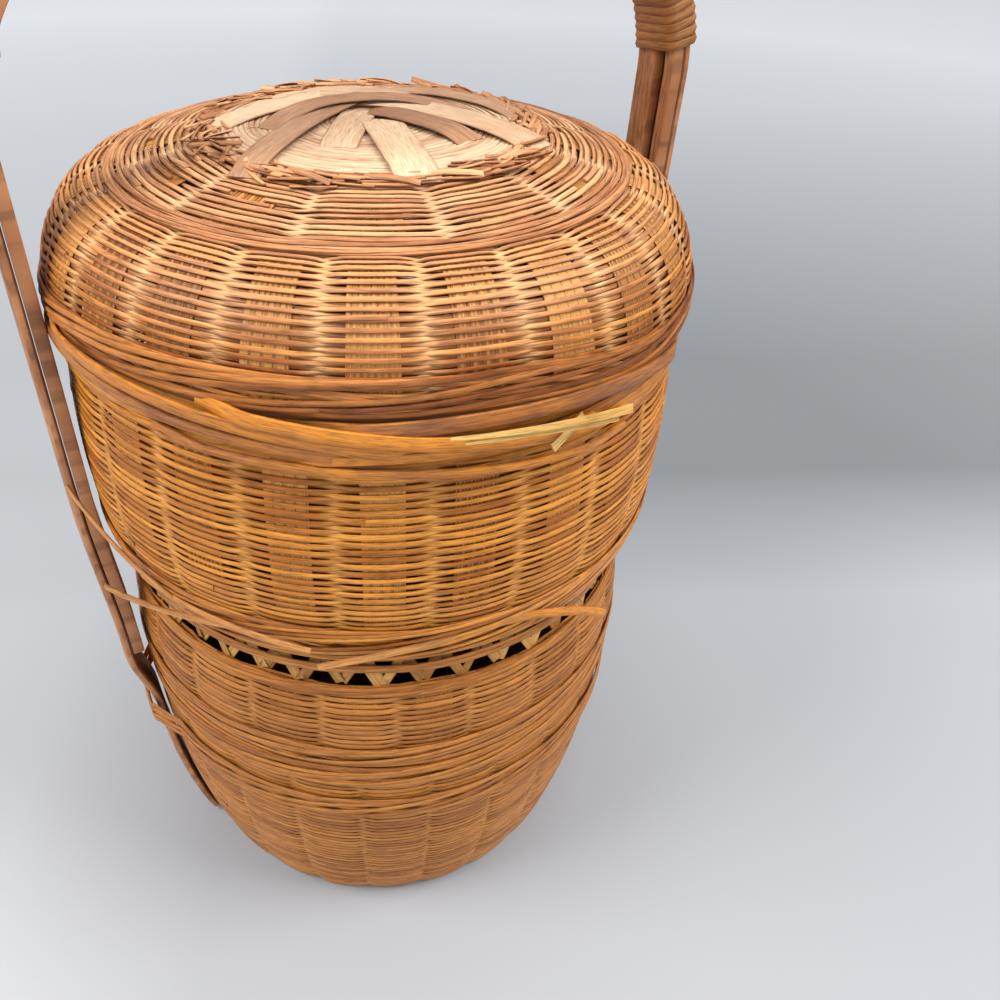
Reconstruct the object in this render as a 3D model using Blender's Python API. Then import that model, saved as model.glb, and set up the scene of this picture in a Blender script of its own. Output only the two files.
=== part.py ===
"""Tiered bamboo food basket: three woven tiers, a domed lid and a fixed bent handle.

Metres, +Z up. The origin is the middle of the flat underside. The tiers and the lid are
turned about Z, and the handle stands in a plane turned a little from X.
"""

import math

import bmesh
import bpy
from mathutils import Vector

# Fits shared by every piece
FIT_GAP = 0.0003
RING_STEPS = 48

# Widest radius of the weave, from which every other radius is set in or out
BASKET_RADIUS = 0.1115

# Woven sheet
WEAVE_THICKNESS = 0.0022
STAKE_RELIEF = 0.0009
WALL_STAKES = 24
LID_INNER_STAKES = 12
MIDDLE_TURN = -4.2
FLOOR_THICKNESS = 0.0022

# Bottom tier
BOTTOM_FOOT_INSET = 0.0215
BOTTOM_BELLY_INSET = 0.0060
BOTTOM_RIM_INSET = 0.0063
BOTTOM_WALL_HEIGHT = 0.1107
BOTTOM_BORDER_DEPTH = 0.0060
BOTTOM_BORDER_CAP = 0.0040
BOTTOM_HOOP_INSET = 0.0052
BOTTOM_HOOP_RISE = 0.0085
BOTTOM_HOOP_LENGTH = 0.0225
WAIST_BAND_DROP = 0.0267
WAIST_BAND_WIDTH = 0.0115
WAIST_BAND_THICKNESS = 0.0015

# Middle tier
TIER_GAP = 0.0015
MIDDLE_FOOT_INSET = 0.0070
MIDDLE_BELLY_INSET = 0.0053
MIDDLE_RIM_INSET = 0.0087
MIDDLE_WALL_HEIGHT = 0.0420
MIDDLE_BORDER_HEIGHT = 0.0020
MIDDLE_BORDER_WIDTH = 0.0090
MIDDLE_EDGE_WIDTH = 0.0036
FOOT_CLEARANCE = 0.0010

# Openwork collar on the middle tier
COLLAR_LATTICE_HEIGHT = 0.0207
COLLAR_FOOT_INSET = 0.0004
COLLAR_NECK_INSET = 0.0041
COLLAR_CLEARANCE = 0.0017
COLLAR_TURNS = 22
COLLAR_STRIP_WIDTH = 0.0044
COLLAR_STRIP_THICKNESS = 0.0006
COLLAR_BAND_HEIGHT = 0.0074
COLLAR_BAND_WIDTH = 0.0040
COLLAR_BAND_THICKNESS = 0.0012
COLLAR_HOOP_WIDTH = 0.0040
COLLAR_HOOP_THICKNESS = 0.0028

# Upper tier
UPPER_FOOT_INSET = 0.0085
UPPER_RIM_INSET = 0.0040
UPPER_FOOT_DEPTH = 0.0096
UPPER_WALL_HEIGHT = 0.0895
UPPER_FOOT_BORDER_HEIGHT = 0.0010
UPPER_FOOT_BORDER_WIDTH = 0.0195
UPPER_BORDER_DEPTH = 0.0085
UPPER_BORDER_CAP = 0.0047
UPPER_HOOP_RISE = 0.0115
UPPER_HOOP_LENGTH = 0.0300

# Borders and hoops that ring the tiers
BORDER_THICKNESS = 0.0014
RIM_BORDER_THICKNESS = 0.0018
HOOP_THICKNESS = 0.0022

# Lid
LID_OVERHANG = 0.0031
LID_HOOP_DROP = 0.0012
LID_SKIRT_HEIGHT = 0.0060
LID_SHOULDER_RISE = 0.0328
LID_STEP_INSET = 0.0274
LID_STEP_RISE = 0.0009
LID_STEP_RUN = 0.0006
LID_INNER_RISE = 0.0074
LID_CROWN_INSET = 0.0306
LID_CROWN_RISE = 0.0011
LID_CROWN_MIDWAY_SHARE = 0.75
LID_HOOP_CLEARANCE = 0.0010
LID_HOOP_WIDTH = 0.0078
LID_HOOP_THICKNESS = 0.0018
LID_BORDER_WIDTH = 0.0090
LID_BORDER_THICKNESS = 0.0010
CROWN_RING_THICKNESS = 0.0010
CROWN_RING_WIDTH = 0.0040

# Flat splints that cross on the crown, with their directions in degrees
SPLINT_ANGLES = (102.0, 54.0, 147.0, 172.0)
SPLINT_WIDTH = 0.0145
SPLINT_END_INSET = 0.0016
SPLINT_THICKNESS = 0.0005

# Handle
HANDLE_ANGLE = 23.0
STRAP_WIDTH = 0.0210
OUTER_STRAP_THICKNESS = 0.0034
INNER_STRIP_THICKNESS = 0.0043
NEAR_STRIP_WIDTH = 0.0051
FAR_STRIP_WIDTH = 0.0103
STRAP_CHAMFER = 0.0009
MOST_CHAMFER_SHARE = 0.3333
LEG_CLEARANCE = 0.0015
LEG_LOW_INSET = 0.0037
LEG_STRIP_END_RISE = 0.0015
LEG_UPRIGHT_RISE = 0.0305
STRAP_LEAVES_RISE = 0.0020
STRAP_END_HEIGHT = 0.0040
ARCH_SPRING_RISE = 0.0063
ARCH_RISE = 0.0785
LEG_STEP = 0.0200
ARCH_HALF_STEPS = 12

# Cane wound round each shoulder of the handle
CANE_RADIUS = 0.0012
CANE_PITCH = 0.0032
CANE_TURNS = 6
CANE_START_RISE = 0.0080
POINTS_PER_EDGE = 3
CANE_ANGLE_STEP = 0.001

# Waist band where it runs out over a leg, as shares of its reach to each side
BAND_REACH_SHARES = (1.0, 1.6, 2.2)
BAND_OVER_SHARE = 1.01

# Shares that shape the curves
WALL_LEVEL_SHARES = (0.0, 0.06, 0.16, 0.31, 0.50, 0.75, 1.0)
BELLY_POWER_SHARE = 0.7
BOTTOM_BELLY_SHARE = 0.90
MIDDLE_BELLY_SHARE = 0.37
UPPER_BELLY_SHARE = 0.44
LID_ARC_ANGLES = (18.0, 36.0, 54.0, 72.0, 90.0)


def clear_scene():
    """Remove whatever the scene holds."""
    for item in list(bpy.data.objects):
        bpy.data.objects.remove(item, do_unlink=True)


def make_material(name, colour, roughness):
    """Return a Principled material."""
    material = bpy.data.materials.new(name)
    material.use_nodes = True
    shader = material.node_tree.nodes["Principled BSDF"]
    shader.inputs["Base Color"].default_value = (colour[0], colour[1], colour[2], 1.0)
    shader.inputs["Roughness"].default_value = roughness
    shader.inputs["Metallic"].default_value = 0.0
    material.diffuse_color = (colour[0], colour[1], colour[2], 1.0)
    return material


def finish_mesh(name, work, colour, roughness):
    """Turn a bmesh into a named object with its own material."""
    bmesh.ops.recalc_face_normals(work, faces=work.faces)
    mesh = bpy.data.meshes.new(name)
    work.to_mesh(mesh)
    work.free()
    mesh.shade_smooth()
    mesh.set_sharp_from_angle(angle=math.radians(35.0))
    item = bpy.data.objects.new(name, mesh)
    bpy.context.scene.collection.objects.link(item)
    item.data.materials.append(make_material(name, colour, roughness))
    return item


def draw_in_between_stakes(work, places, turn):
    """Set back the corners midway between stakes, at places that give radius, height, outward radius and
    height, and how many stakes stand round the wall there."""
    for corner in work.verts:
        radius = math.hypot(corner.co.x, corner.co.y)
        number = round((math.atan2(corner.co.y, corner.co.x) - turn) / math.tau * RING_STEPS)
        for place_radius, place_height, out_radius, out_height, stakes in places:
            spacing = RING_STEPS // stakes
            midway = number % spacing == spacing // 2
            if midway and math.hypot(radius - place_radius, corner.co.z - place_height) < FIT_GAP:
                share = 1.0 - STAKE_RELIEF * out_radius / radius
                corner.co.x *= share
                corner.co.y *= share
                corner.co.z -= STAKE_RELIEF * out_height
                break


def turned_solid(name, profile, colour, roughness, steps=RING_STEPS, drawn_in=(), degrees=0.0):
    """Spin a (radius, height) outline about Z; an outline that starts and ends at radius 0 is a bowl."""
    work = bmesh.new()
    turn = math.radians(degrees)
    cos, sin = math.cos(turn), math.sin(turn)
    corners = [work.verts.new((radius * cos, radius * sin, height)) for radius, height in profile]
    edges = [work.edges.new(pair) for pair in zip(corners, corners[1:])]
    meets_axis = profile[0][0] == 0.0
    if not meets_axis:
        edges.append(work.edges.new((corners[-1], corners[0])))
    bmesh.ops.spin(
        work,
        geom=corners + edges,
        cent=(0.0, 0.0, 0.0),
        axis=(0.0, 0.0, 1.0),
        angle=math.tau,
        steps=steps,
        use_merge=True,
    )
    bmesh.ops.remove_doubles(work, verts=work.verts, dist=FIT_GAP / 100.0)
    draw_in_between_stakes(work, drawn_in, turn)
    return finish_mesh(name, work, colour, roughness)


def swept_solid(name, sections, closed, colour, roughness):
    """Join a row of equal loops of points into one solid, capped at its ends unless it is a ring."""
    work = bmesh.new()
    rows = [[work.verts.new(point) for point in section] for section in sections]
    pairs = list(zip(rows, rows[1:]))
    if closed:
        pairs.append((rows[-1], rows[0]))
    for first, second in pairs:
        for index in range(len(first)):
            following = (index + 1) % len(first)
            work.faces.new((first[index], first[following], second[following], second[index]))
    if not closed:
        work.faces.new(rows[0])
        work.faces.new(rows[-1])
    return finish_mesh(name, work, colour, roughness)


def chamfered(points, cut):
    """Cut each corner of a closed outline back by the given length."""
    result = []
    count = len(points)
    for index, point in enumerate(points):
        here = Vector(point)
        for other in (points[index - 1], points[(index + 1) % count]):
            result.append(tuple(here + (Vector(other) - here).normalized() * cut))
    return result


class Tier:
    """Outer curve of one woven wall, from its foot up to its rim."""

    def __init__(self, foot_height, height, foot_radius, belly_radius, rim_radius, belly_share):
        self.foot_height = foot_height
        self.height = height
        self.foot_radius = foot_radius
        self.belly_radius = belly_radius
        self.rim_radius = rim_radius
        self.belly_share = belly_share

    @property
    def top(self):
        return self.foot_height + self.height

    def radius_at(self, level):
        """Outer radius of the wall at a height."""
        share = min(max((level - self.foot_height) / self.height, 0.0), 1.0)
        if share < self.belly_share:
            swell = math.sin(math.pi / 2.0 * share / self.belly_share) ** BELLY_POWER_SHARE
            return self.foot_radius + (self.belly_radius - self.foot_radius) * swell
        fall = (share - self.belly_share) / (1.0 - self.belly_share)
        return self.belly_radius - (self.belly_radius - self.rim_radius) * fall ** 2

    def levels(self):
        """Heights at which the wall's outline has its points."""
        return [self.foot_height + self.height * share for share in WALL_LEVEL_SHARES]

    def facet_radius_at(self, level):
        """Outer radius of the straight-sided outline, which the rings outside it follow."""
        marks = self.levels()
        if level <= marks[0]:
            return self.radius_at(marks[0])
        for low, high in zip(marks, marks[1:]):
            if level <= high:
                share = (level - low) / (high - low)
                low_radius = self.radius_at(low)
                return low_radius + (self.radius_at(high) - low_radius) * share
        return self.radius_at(marks[-1])


def flat_floor_outline(tier):
    """Bowl that stands on its own floor."""
    outer = [(tier.radius_at(level), level) for level in tier.levels()]
    inner = [(radius - WEAVE_THICKNESS, level) for radius, level in outer]
    floor_top = tier.foot_height + FLOOR_THICKNESS
    inner = [(radius, level) for radius, level in inner if level > floor_top + FLOOR_THICKNESS]
    corner_radius = tier.facet_radius_at(floor_top) - WEAVE_THICKNESS
    outline = [(0.0, tier.foot_height)] + outer + inner[::-1]
    return outline + [(corner_radius, floor_top), (0.0, floor_top)]


def raised_floor_outline(tier, floor_under, skirt_radius):
    """Bowl whose floor is lifted inside a skirt that fits over the hoop below."""
    outer = [(tier.radius_at(level), level) for level in tier.levels()]
    floor_top = floor_under + FLOOR_THICKNESS
    inner = [(radius - WEAVE_THICKNESS, level) for radius, level in outer]
    inner = [(radius, level) for radius, level in inner if level > floor_top + FLOOR_THICKNESS]
    corner_radius = tier.facet_radius_at(floor_top) - WEAVE_THICKNESS
    outline = [(0.0, floor_under), (skirt_radius, floor_under), (skirt_radius, tier.foot_height)]
    outline += outer + inner[::-1]
    return outline + [(corner_radius, floor_top), (0.0, floor_top)]


def outer_ring_outline(tier, low, width, thickness):
    """Band that lies round the outside of a wall."""
    marks = [level for level in tier.levels() if low + thickness < level < low + width - thickness]
    marks = [low] + marks + [low + width]
    inner = [(tier.facet_radius_at(level) + FIT_GAP, level) for level in marks]
    outer = [(radius + thickness, level) for radius, level in inner]
    low_edge = (outer[0][0] - thickness / 2.0, outer[0][1])
    high_edge = (outer[-1][0] - thickness / 2.0, outer[-1][1])
    outer[0] = (outer[0][0], outer[0][1] + thickness / 2.0)
    outer[-1] = (outer[-1][0], outer[-1][1] - thickness / 2.0)
    return inner[::-1] + [low_edge] + outer + [high_edge]


def rim_border_outline(tier, depth, cap, hoop_radius):
    """Border that grips the rim from outside and closes over it as far as the hoop."""
    low = tier.top - depth
    between = [level for level in tier.levels() if low + FIT_GAP < level < tier.top - FIT_GAP]
    marks = [low] + between + [tier.top + FIT_GAP]
    inner = [(tier.facet_radius_at(level) + FIT_GAP, level) for level in marks]
    top = tier.top + FIT_GAP + cap
    widest = inner[-1][0] + RIM_BORDER_THICKNESS
    chamfer = RIM_BORDER_THICKNESS / 2.0
    outline = inner[::-1]
    outline += [
        (inner[0][0] + chamfer, low),
        (widest, low + chamfer),
        (widest, top - chamfer),
        (widest - chamfer, top),
        (hoop_radius + FIT_GAP, top),
        (hoop_radius + FIT_GAP, tier.top + FIT_GAP),
    ]
    return outline


def hoop_outline(outer_radius, thickness, low, high):
    """Split bamboo hoop of rectangular section."""
    return [
        (outer_radius, high),
        (outer_radius, low),
        (outer_radius - thickness, low),
        (outer_radius - thickness, high),
    ]


# Radii of the stack, from the widest one
bottom_rim_radius = BASKET_RADIUS - BOTTOM_RIM_INSET
bottom_hoop_radius = bottom_rim_radius - BOTTOM_HOOP_INSET
middle_rim_radius = BASKET_RADIUS - MIDDLE_RIM_INSET
collar_foot_radius = middle_rim_radius - COLLAR_FOOT_INSET
collar_neck_radius = middle_rim_radius - COLLAR_NECK_INSET
upper_rim_radius = BASKET_RADIUS - UPPER_RIM_INSET
upper_hoop_radius = upper_rim_radius - WEAVE_THICKNESS - FIT_GAP
lid_radius = upper_rim_radius + LID_OVERHANG
lid_step_radius = lid_radius - LID_STEP_INSET
lid_crown_radius = lid_step_radius - LID_CROWN_INSET
leg_inner_radius = BASKET_RADIUS + LEG_CLEARANCE
leg_low_radius = leg_inner_radius - LEG_LOW_INSET

# Heights of the stack, from the table up
BOTTOM = Tier(
    0.0,
    BOTTOM_WALL_HEIGHT,
    BASKET_RADIUS - BOTTOM_FOOT_INSET,
    BASKET_RADIUS - BOTTOM_BELLY_INSET,
    bottom_rim_radius,
    BOTTOM_BELLY_SHARE,
)
waist_band_low = BOTTOM.top - WAIST_BAND_DROP
strap_leaves_height = waist_band_low + STRAP_LEAVES_RISE
bottom_border_top = BOTTOM.top + FIT_GAP + BOTTOM_BORDER_CAP
bottom_hoop_top = bottom_border_top + BOTTOM_HOOP_RISE
MIDDLE = Tier(
    bottom_border_top + TIER_GAP,
    MIDDLE_WALL_HEIGHT,
    BASKET_RADIUS - MIDDLE_FOOT_INSET,
    BASKET_RADIUS - MIDDLE_BELLY_INSET,
    middle_rim_radius,
    MIDDLE_BELLY_SHARE,
)
leg_strip_end_height = bottom_hoop_top + LEG_STRIP_END_RISE
middle_floor_under = bottom_hoop_top + FIT_GAP
lattice_low = MIDDLE.top + FIT_GAP
lattice_top = lattice_low + COLLAR_LATTICE_HEIGHT
collar_hoop_low = lattice_top + FIT_GAP
collar_hoop_top = collar_hoop_low + COLLAR_HOOP_WIDTH
upper_floor_under = collar_hoop_top + FIT_GAP
UPPER = Tier(
    upper_floor_under - UPPER_FOOT_DEPTH,
    UPPER_WALL_HEIGHT,
    BASKET_RADIUS - UPPER_FOOT_INSET,
    BASKET_RADIUS,
    upper_rim_radius,
    UPPER_BELLY_SHARE,
)
leg_upright_height = UPPER.foot_height + LEG_UPRIGHT_RISE
upper_border_top = UPPER.top + FIT_GAP + UPPER_BORDER_CAP
upper_hoop_top = upper_border_top + UPPER_HOOP_RISE
lid_hoop_low = upper_border_top + FIT_GAP
lid_low = lid_hoop_low + LID_HOOP_DROP
lid_shoulder = lid_low + LID_SKIRT_HEIGHT
lid_step_top = lid_shoulder + LID_SHOULDER_RISE + LID_STEP_RISE
lid_crown_edge = lid_step_top + LID_INNER_RISE
lid_crown_top = lid_crown_edge + LID_CROWN_RISE
arch_spring_height = lid_crown_top + ARCH_SPRING_RISE
cane_start_height = arch_spring_height + CANE_START_RISE


def lid_inner_zone():
    """Points of the lid's outline from the step in to the crown."""
    halfway = (lid_step_radius + lid_crown_radius) / 2.0
    bulge = LID_CROWN_RISE / 2.0
    return [
        (lid_step_radius, lid_step_top),
        (halfway, (lid_step_top + lid_crown_edge) / 2.0 + bulge),
        (lid_crown_radius, lid_crown_edge),
    ]


def lid_outer_curve():
    """Outside of the lid from its lower edge to the middle of its crown."""
    curve = [(lid_radius, lid_low), (lid_radius, lid_shoulder)]
    arc_centre = lid_step_radius + LID_STEP_RUN
    for degrees in LID_ARC_ANGLES:
        angle = math.radians(degrees)
        radius = arc_centre + (lid_radius - arc_centre) * math.cos(angle)
        curve.append((radius, lid_shoulder + LID_SHOULDER_RISE * math.sin(angle)))
    curve += lid_inner_zone()
    curve.append((lid_crown_radius / 2.0, lid_crown_edge + LID_CROWN_RISE * LID_CROWN_MIDWAY_SHARE))
    curve.append((0.0, lid_crown_top))
    return curve


def offset_inwards(curve, distance):
    """Shift a lid curve towards the inside by a wall thickness."""
    shifted = []
    last = len(curve) - 1
    for index, point in enumerate(curve):
        before = Vector(curve[max(index - 1, 0)])
        after = Vector(curve[min(index + 1, last)])
        along = (after - before).normalized()
        normal = Vector((-along.y, along.x))
        moved = Vector(point) + normal * distance
        shifted.append((moved.x, moved.y))
    shifted[0] = (curve[0][0] - distance, curve[0][1])
    shifted[-1] = (0.0, curve[-1][1] - distance)
    return shifted


def stake_places(tier, low, high):
    """Corners of a wall's outline between two heights, where the weave stands out over the stakes."""
    levels = [level for level in tier.levels() if low <= level <= high]
    return [(tier.radius_at(level), level, 1.0, 0.0, WALL_STAKES) for level in levels]


def lid_stake_places():
    """Corners of the lid's outline, where the weave stands out over the stakes of its two zones."""
    arc_centre = lid_step_radius + LID_STEP_RUN
    places = []
    for degrees in LID_ARC_ANGLES[:-1]:
        out_radius = math.cos(math.radians(degrees))
        out_height = math.sin(math.radians(degrees))
        radius = arc_centre + (lid_radius - arc_centre) * out_radius
        height = lid_shoulder + LID_SHOULDER_RISE * out_height
        places.append((radius, height, out_radius, out_height, WALL_STAKES))
    run, rise = lid_step_radius - lid_crown_radius, lid_crown_edge - lid_step_top
    slant = math.hypot(run, rise)
    for radius, height in lid_inner_zone():
        places.append((radius, height, rise / slant, run / slant, LID_INNER_STAKES))
    return places


def make_walls(bamboo):
    """The four woven shells, which stand out over their stakes and draw in between them."""
    places = stake_places(BOTTOM, BOTTOM.foot_height, waist_band_low - WAIST_BAND_WIDTH)
    turned_solid("bottom_tier_wall", flat_floor_outline(BOTTOM), *bamboo, drawn_in=places)
    skirt = bottom_hoop_radius + FOOT_CLEARANCE
    low = MIDDLE.foot_height + MIDDLE_BORDER_HEIGHT + MIDDLE_BORDER_WIDTH
    places = stake_places(MIDDLE, low, MIDDLE.top - MIDDLE_EDGE_WIDTH)
    outline = raised_floor_outline(MIDDLE, middle_floor_under, skirt)
    turned_solid("middle_tier_wall", outline, *bamboo, drawn_in=places, degrees=MIDDLE_TURN)
    skirt = collar_neck_radius + COLLAR_CLEARANCE
    low = UPPER.foot_height + UPPER_FOOT_BORDER_HEIGHT + UPPER_FOOT_BORDER_WIDTH
    places = stake_places(UPPER, low, UPPER.top - UPPER_BORDER_DEPTH)
    outline = raised_floor_outline(UPPER, upper_floor_under, skirt)
    turned_solid("upper_tier_wall", outline, *bamboo, drawn_in=places)
    outer = lid_outer_curve()
    inner = offset_inwards(outer, WEAVE_THICKNESS)
    turned_solid("lid_dome", inner[::-1] + outer, *bamboo, drawn_in=lid_stake_places())


def make_hoops(pale):
    """Split hoops that the pieces above fit over, and the hoop inside the lid."""
    low = bottom_hoop_top - BOTTOM_HOOP_LENGTH
    outline = hoop_outline(bottom_hoop_radius, HOOP_THICKNESS, low, bottom_hoop_top)
    turned_solid("bottom_rim_hoop", outline, *pale)
    low = upper_hoop_top - UPPER_HOOP_LENGTH
    outline = hoop_outline(upper_hoop_radius, HOOP_THICKNESS, low, upper_hoop_top)
    turned_solid("upper_rim_hoop", outline, *pale)
    outer_radius = upper_hoop_radius + LID_HOOP_CLEARANCE + LID_HOOP_THICKNESS
    outline = hoop_outline(outer_radius, LID_HOOP_THICKNESS, lid_hoop_low, lid_hoop_low + LID_HOOP_WIDTH)
    turned_solid("lid_rim_hoop", outline, *pale)
    outline = hoop_outline(collar_neck_radius, COLLAR_HOOP_THICKNESS, collar_hoop_low, collar_hoop_top)
    turned_solid("collar_top_hoop", outline, *pale, steps=COLLAR_TURNS * 2)


def make_borders(bamboo):
    """Wrapped borders and bands round the woven walls."""
    outline = rim_border_outline(BOTTOM, BOTTOM_BORDER_DEPTH, BOTTOM_BORDER_CAP, bottom_hoop_radius)
    turned_solid("bottom_rim_border", outline, *bamboo)
    outline = rim_border_outline(UPPER, UPPER_BORDER_DEPTH, UPPER_BORDER_CAP, upper_hoop_radius)
    turned_solid("upper_rim_border", outline, *bamboo)
    low = MIDDLE.foot_height + MIDDLE_BORDER_HEIGHT
    outline = outer_ring_outline(MIDDLE, low, MIDDLE_BORDER_WIDTH, BORDER_THICKNESS)
    turned_solid("middle_foot_border", outline, *bamboo, degrees=MIDDLE_TURN)
    low = MIDDLE.top - MIDDLE_EDGE_WIDTH
    outline = outer_ring_outline(MIDDLE, low, MIDDLE_EDGE_WIDTH, BORDER_THICKNESS)
    turned_solid("middle_rim_edging", outline, *bamboo, degrees=MIDDLE_TURN)
    low = UPPER.foot_height + UPPER_FOOT_BORDER_HEIGHT
    outline = outer_ring_outline(UPPER, low, UPPER_FOOT_BORDER_WIDTH, BORDER_THICKNESS)
    turned_solid("upper_foot_border", outline, *bamboo)
    radius = lid_radius + FIT_GAP + LID_BORDER_THICKNESS
    skirt = min(LID_BORDER_WIDTH, LID_SKIRT_HEIGHT)
    outline = hoop_outline(radius, LID_BORDER_THICKNESS, lid_low, lid_low + skirt)
    turned_solid("lid_rim_border", outline, *bamboo)


def strap_gap_angles():
    """Directions in which the two handle legs stand."""
    return (math.radians(HANDLE_ANGLE), math.radians(HANDLE_ANGLE + 180.0))


def make_waist_band(bamboo):
    """Twisted band round the bottom tier, which runs out over each handle leg and ties it down."""
    low = waist_band_low
    high = low + WAIST_BAND_WIDTH
    reach = STRAP_WIDTH / 2.0 + WAIST_BAND_THICKNESS
    furthest = reach * BAND_REACH_SHARES[-1]
    angles = [math.tau * index / RING_STEPS for index in range(RING_STEPS)]
    base_radius = BOTTOM.facet_radius_at(high) + FIT_GAP
    for leg in strap_gap_angles():
        for side in (-1.0, 1.0):
            for share in BAND_REACH_SHARES:
                angles.append((leg + side * reach * share / base_radius) % math.tau)
        angles.append(leg % math.tau)
    angles.sort()
    sections = []
    for angle in angles:
        section = []
        for level in (low, high):
            radius = BOTTOM.facet_radius_at(level) + FIT_GAP
            lift = 0.0
            for leg in strap_gap_angles():
                away = abs((angle - leg + math.pi) % math.tau - math.pi)
                sideways = base_radius * math.sin(min(away, math.pi / 2.0))
                if sideways <= reach * BAND_OVER_SHARE:
                    over = (strap_outer_at(level) + FIT_GAP * 2.0) / math.cos(away)
                    lift = max(lift, over - radius)
                elif sideways < furthest:
                    share = 1.0 - (sideways - reach) / (furthest - reach)
                    lift = max(lift, (strap_outer_at(level) + FIT_GAP * 2.0 - radius) * share)
            section.append((radius + lift, level))
        inner_low, inner_high = section
        outer_low = (inner_low[0] + WAIST_BAND_THICKNESS, low)
        outer_high = (inner_high[0] + WAIST_BAND_THICKNESS, high)
        ring = (inner_low, outer_low, outer_high, inner_high)
        sections.append([(r * math.cos(angle), r * math.sin(angle), z) for r, z in ring])
    swept_solid("bottom_waist_band", sections, True, *bamboo)


def collar_radius_at(level):
    """Outer radius of the openwork, which draws in from the wall to the neck."""
    share = min(max((level - lattice_low) / COLLAR_LATTICE_HEIGHT, 0.0), 1.0)
    return collar_foot_radius + (collar_neck_radius - collar_foot_radius) * share


def make_zigzag(name, layer, phase, colour, roughness):
    """One flat strip folded up and down all the way round the collar."""
    half_turn = math.pi / COLLAR_TURNS
    inward = layer * (COLLAR_STRIP_THICKNESS + FIT_GAP)
    chord = half_turn * collar_foot_radius
    slope = math.atan2(COLLAR_LATTICE_HEIGHT, chord)
    upright = COLLAR_STRIP_WIDTH / 2.0 / math.cos(slope)
    upright = min(upright, COLLAR_LATTICE_HEIGHT / 3.0)
    sections = []
    steps = COLLAR_TURNS * 2
    for index in range(steps):
        at_top = (index + phase) % 2 == 0
        outer_level = lattice_top if at_top else lattice_low
        inner_level = lattice_top - upright if at_top else lattice_low + upright
        first, second = (inner_level, outer_level) if at_top else (outer_level, inner_level)
        angle = half_turn * index
        section = []
        for level, face in ((first, 0.0), (first, 1.0), (second, 1.0), (second, 0.0)):
            radius = collar_radius_at(level) - inward - face * COLLAR_STRIP_THICKNESS
            section.append((radius * math.cos(angle), radius * math.sin(angle), level))
        sections.append(section)
    return swept_solid(name, sections, True, colour, roughness)


def make_collar(pale, bamboo):
    """Openwork collar: two folded strips that cross, and the band laid over their crossings."""
    make_zigzag("collar_outer_zigzag", 0.0, 0, *pale)
    make_zigzag("collar_inner_zigzag", 1.0, 1, *pale)
    low = lattice_low + COLLAR_BAND_HEIGHT
    high = low + COLLAR_BAND_WIDTH
    gap = FIT_GAP
    outline = [
        (collar_radius_at(high) + gap, high),
        (collar_radius_at(low) + gap, low),
        (collar_radius_at(low) + gap + COLLAR_BAND_THICKNESS, low),
        (collar_radius_at(high) + gap + COLLAR_BAND_THICKNESS, high),
    ]
    turned_solid("collar_band", outline[::-1], *bamboo, steps=COLLAR_TURNS * 2)


def make_crown(pale):
    """Flat splints that cross on the crown, and the ring of cut ends round them."""
    length = (lid_crown_radius - SPLINT_END_INSET) * 2.0
    for number, degrees in enumerate(SPLINT_ANGLES):
        level = lid_crown_top + FIT_GAP + number * (SPLINT_THICKNESS + FIT_GAP)
        work = bmesh.new()
        bmesh.ops.create_grid(work, x_segments=4, y_segments=1, size=0.5)
        bmesh.ops.scale(work, vec=(length, SPLINT_WIDTH, 1.0), verts=work.verts)
        top = bmesh.ops.extrude_face_region(work, geom=work.faces[:])
        moved = [item for item in top["geom"] if isinstance(item, bmesh.types.BMVert)]
        bmesh.ops.translate(work, vec=(0.0, 0.0, SPLINT_THICKNESS), verts=moved)
        for corner in work.verts:
            share = abs(corner.co.x) / (length / 2.0)
            corner.co.z -= LID_CROWN_RISE * share ** 2
        item = finish_mesh("crown_splint_%d" % (number + 1), work, *pale)
        item.location = (0.0, 0.0, level)
        item.rotation_euler = (0.0, 0.0, math.radians(degrees))
    outer = lid_outer_curve()
    edge = outer[-3]
    before = outer[-4]
    slope = (edge[1] - before[1]) / (before[0] - edge[0])
    inner_radius = lid_crown_radius + FIT_GAP * 4.0
    outer_radius = inner_radius + CROWN_RING_WIDTH
    low_in = edge[1] - slope * (inner_radius - edge[0]) + FIT_GAP
    low_out = edge[1] - slope * (outer_radius - edge[0]) + FIT_GAP
    outline = [
        (inner_radius, low_in),
        (outer_radius, low_out),
        (outer_radius, low_out + CROWN_RING_THICKNESS),
        (inner_radius, low_in + CROWN_RING_THICKNESS),
    ]
    turned_solid("lid_crown_ring", outline, *pale)


def ease(share):
    """Smooth step from 0 to 1."""
    share = min(max(share, 0.0), 1.0)
    return share * share * (3.0 - 2.0 * share)


def leg_inner_at(level):
    """Distance from the middle to the inside face of a leg's inner strips."""
    lean = ease((level - leg_strip_end_height) / (leg_upright_height - leg_strip_end_height))
    return leg_low_radius + (leg_inner_radius - leg_low_radius) * lean


def strap_inner_at(level):
    """Distance from the middle to the inside face of the outer strap."""
    above = leg_inner_at(level) + INNER_STRIP_THICKNESS + FIT_GAP
    if level >= leg_strip_end_height:
        return above
    on_wall = BOTTOM.facet_radius_at(min(level, strap_leaves_height)) + FIT_GAP * 2.0
    if level <= strap_leaves_height:
        return on_wall
    share = (level - strap_leaves_height) / (leg_strip_end_height - strap_leaves_height)
    return on_wall + (above - on_wall) * ease(share)


def strap_outer_at(level):
    """Distance from the middle to the outside face of the outer strap on a leg."""
    return strap_inner_at(level) + OUTER_STRAP_THICKNESS


def even_levels(low, high):
    """Evenly spaced heights from low up to, but not including, high."""
    count = max(int(round((high - low) / LEG_STEP)), 2)
    return [low + (high - low) * index / count for index in range(count)]


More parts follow.
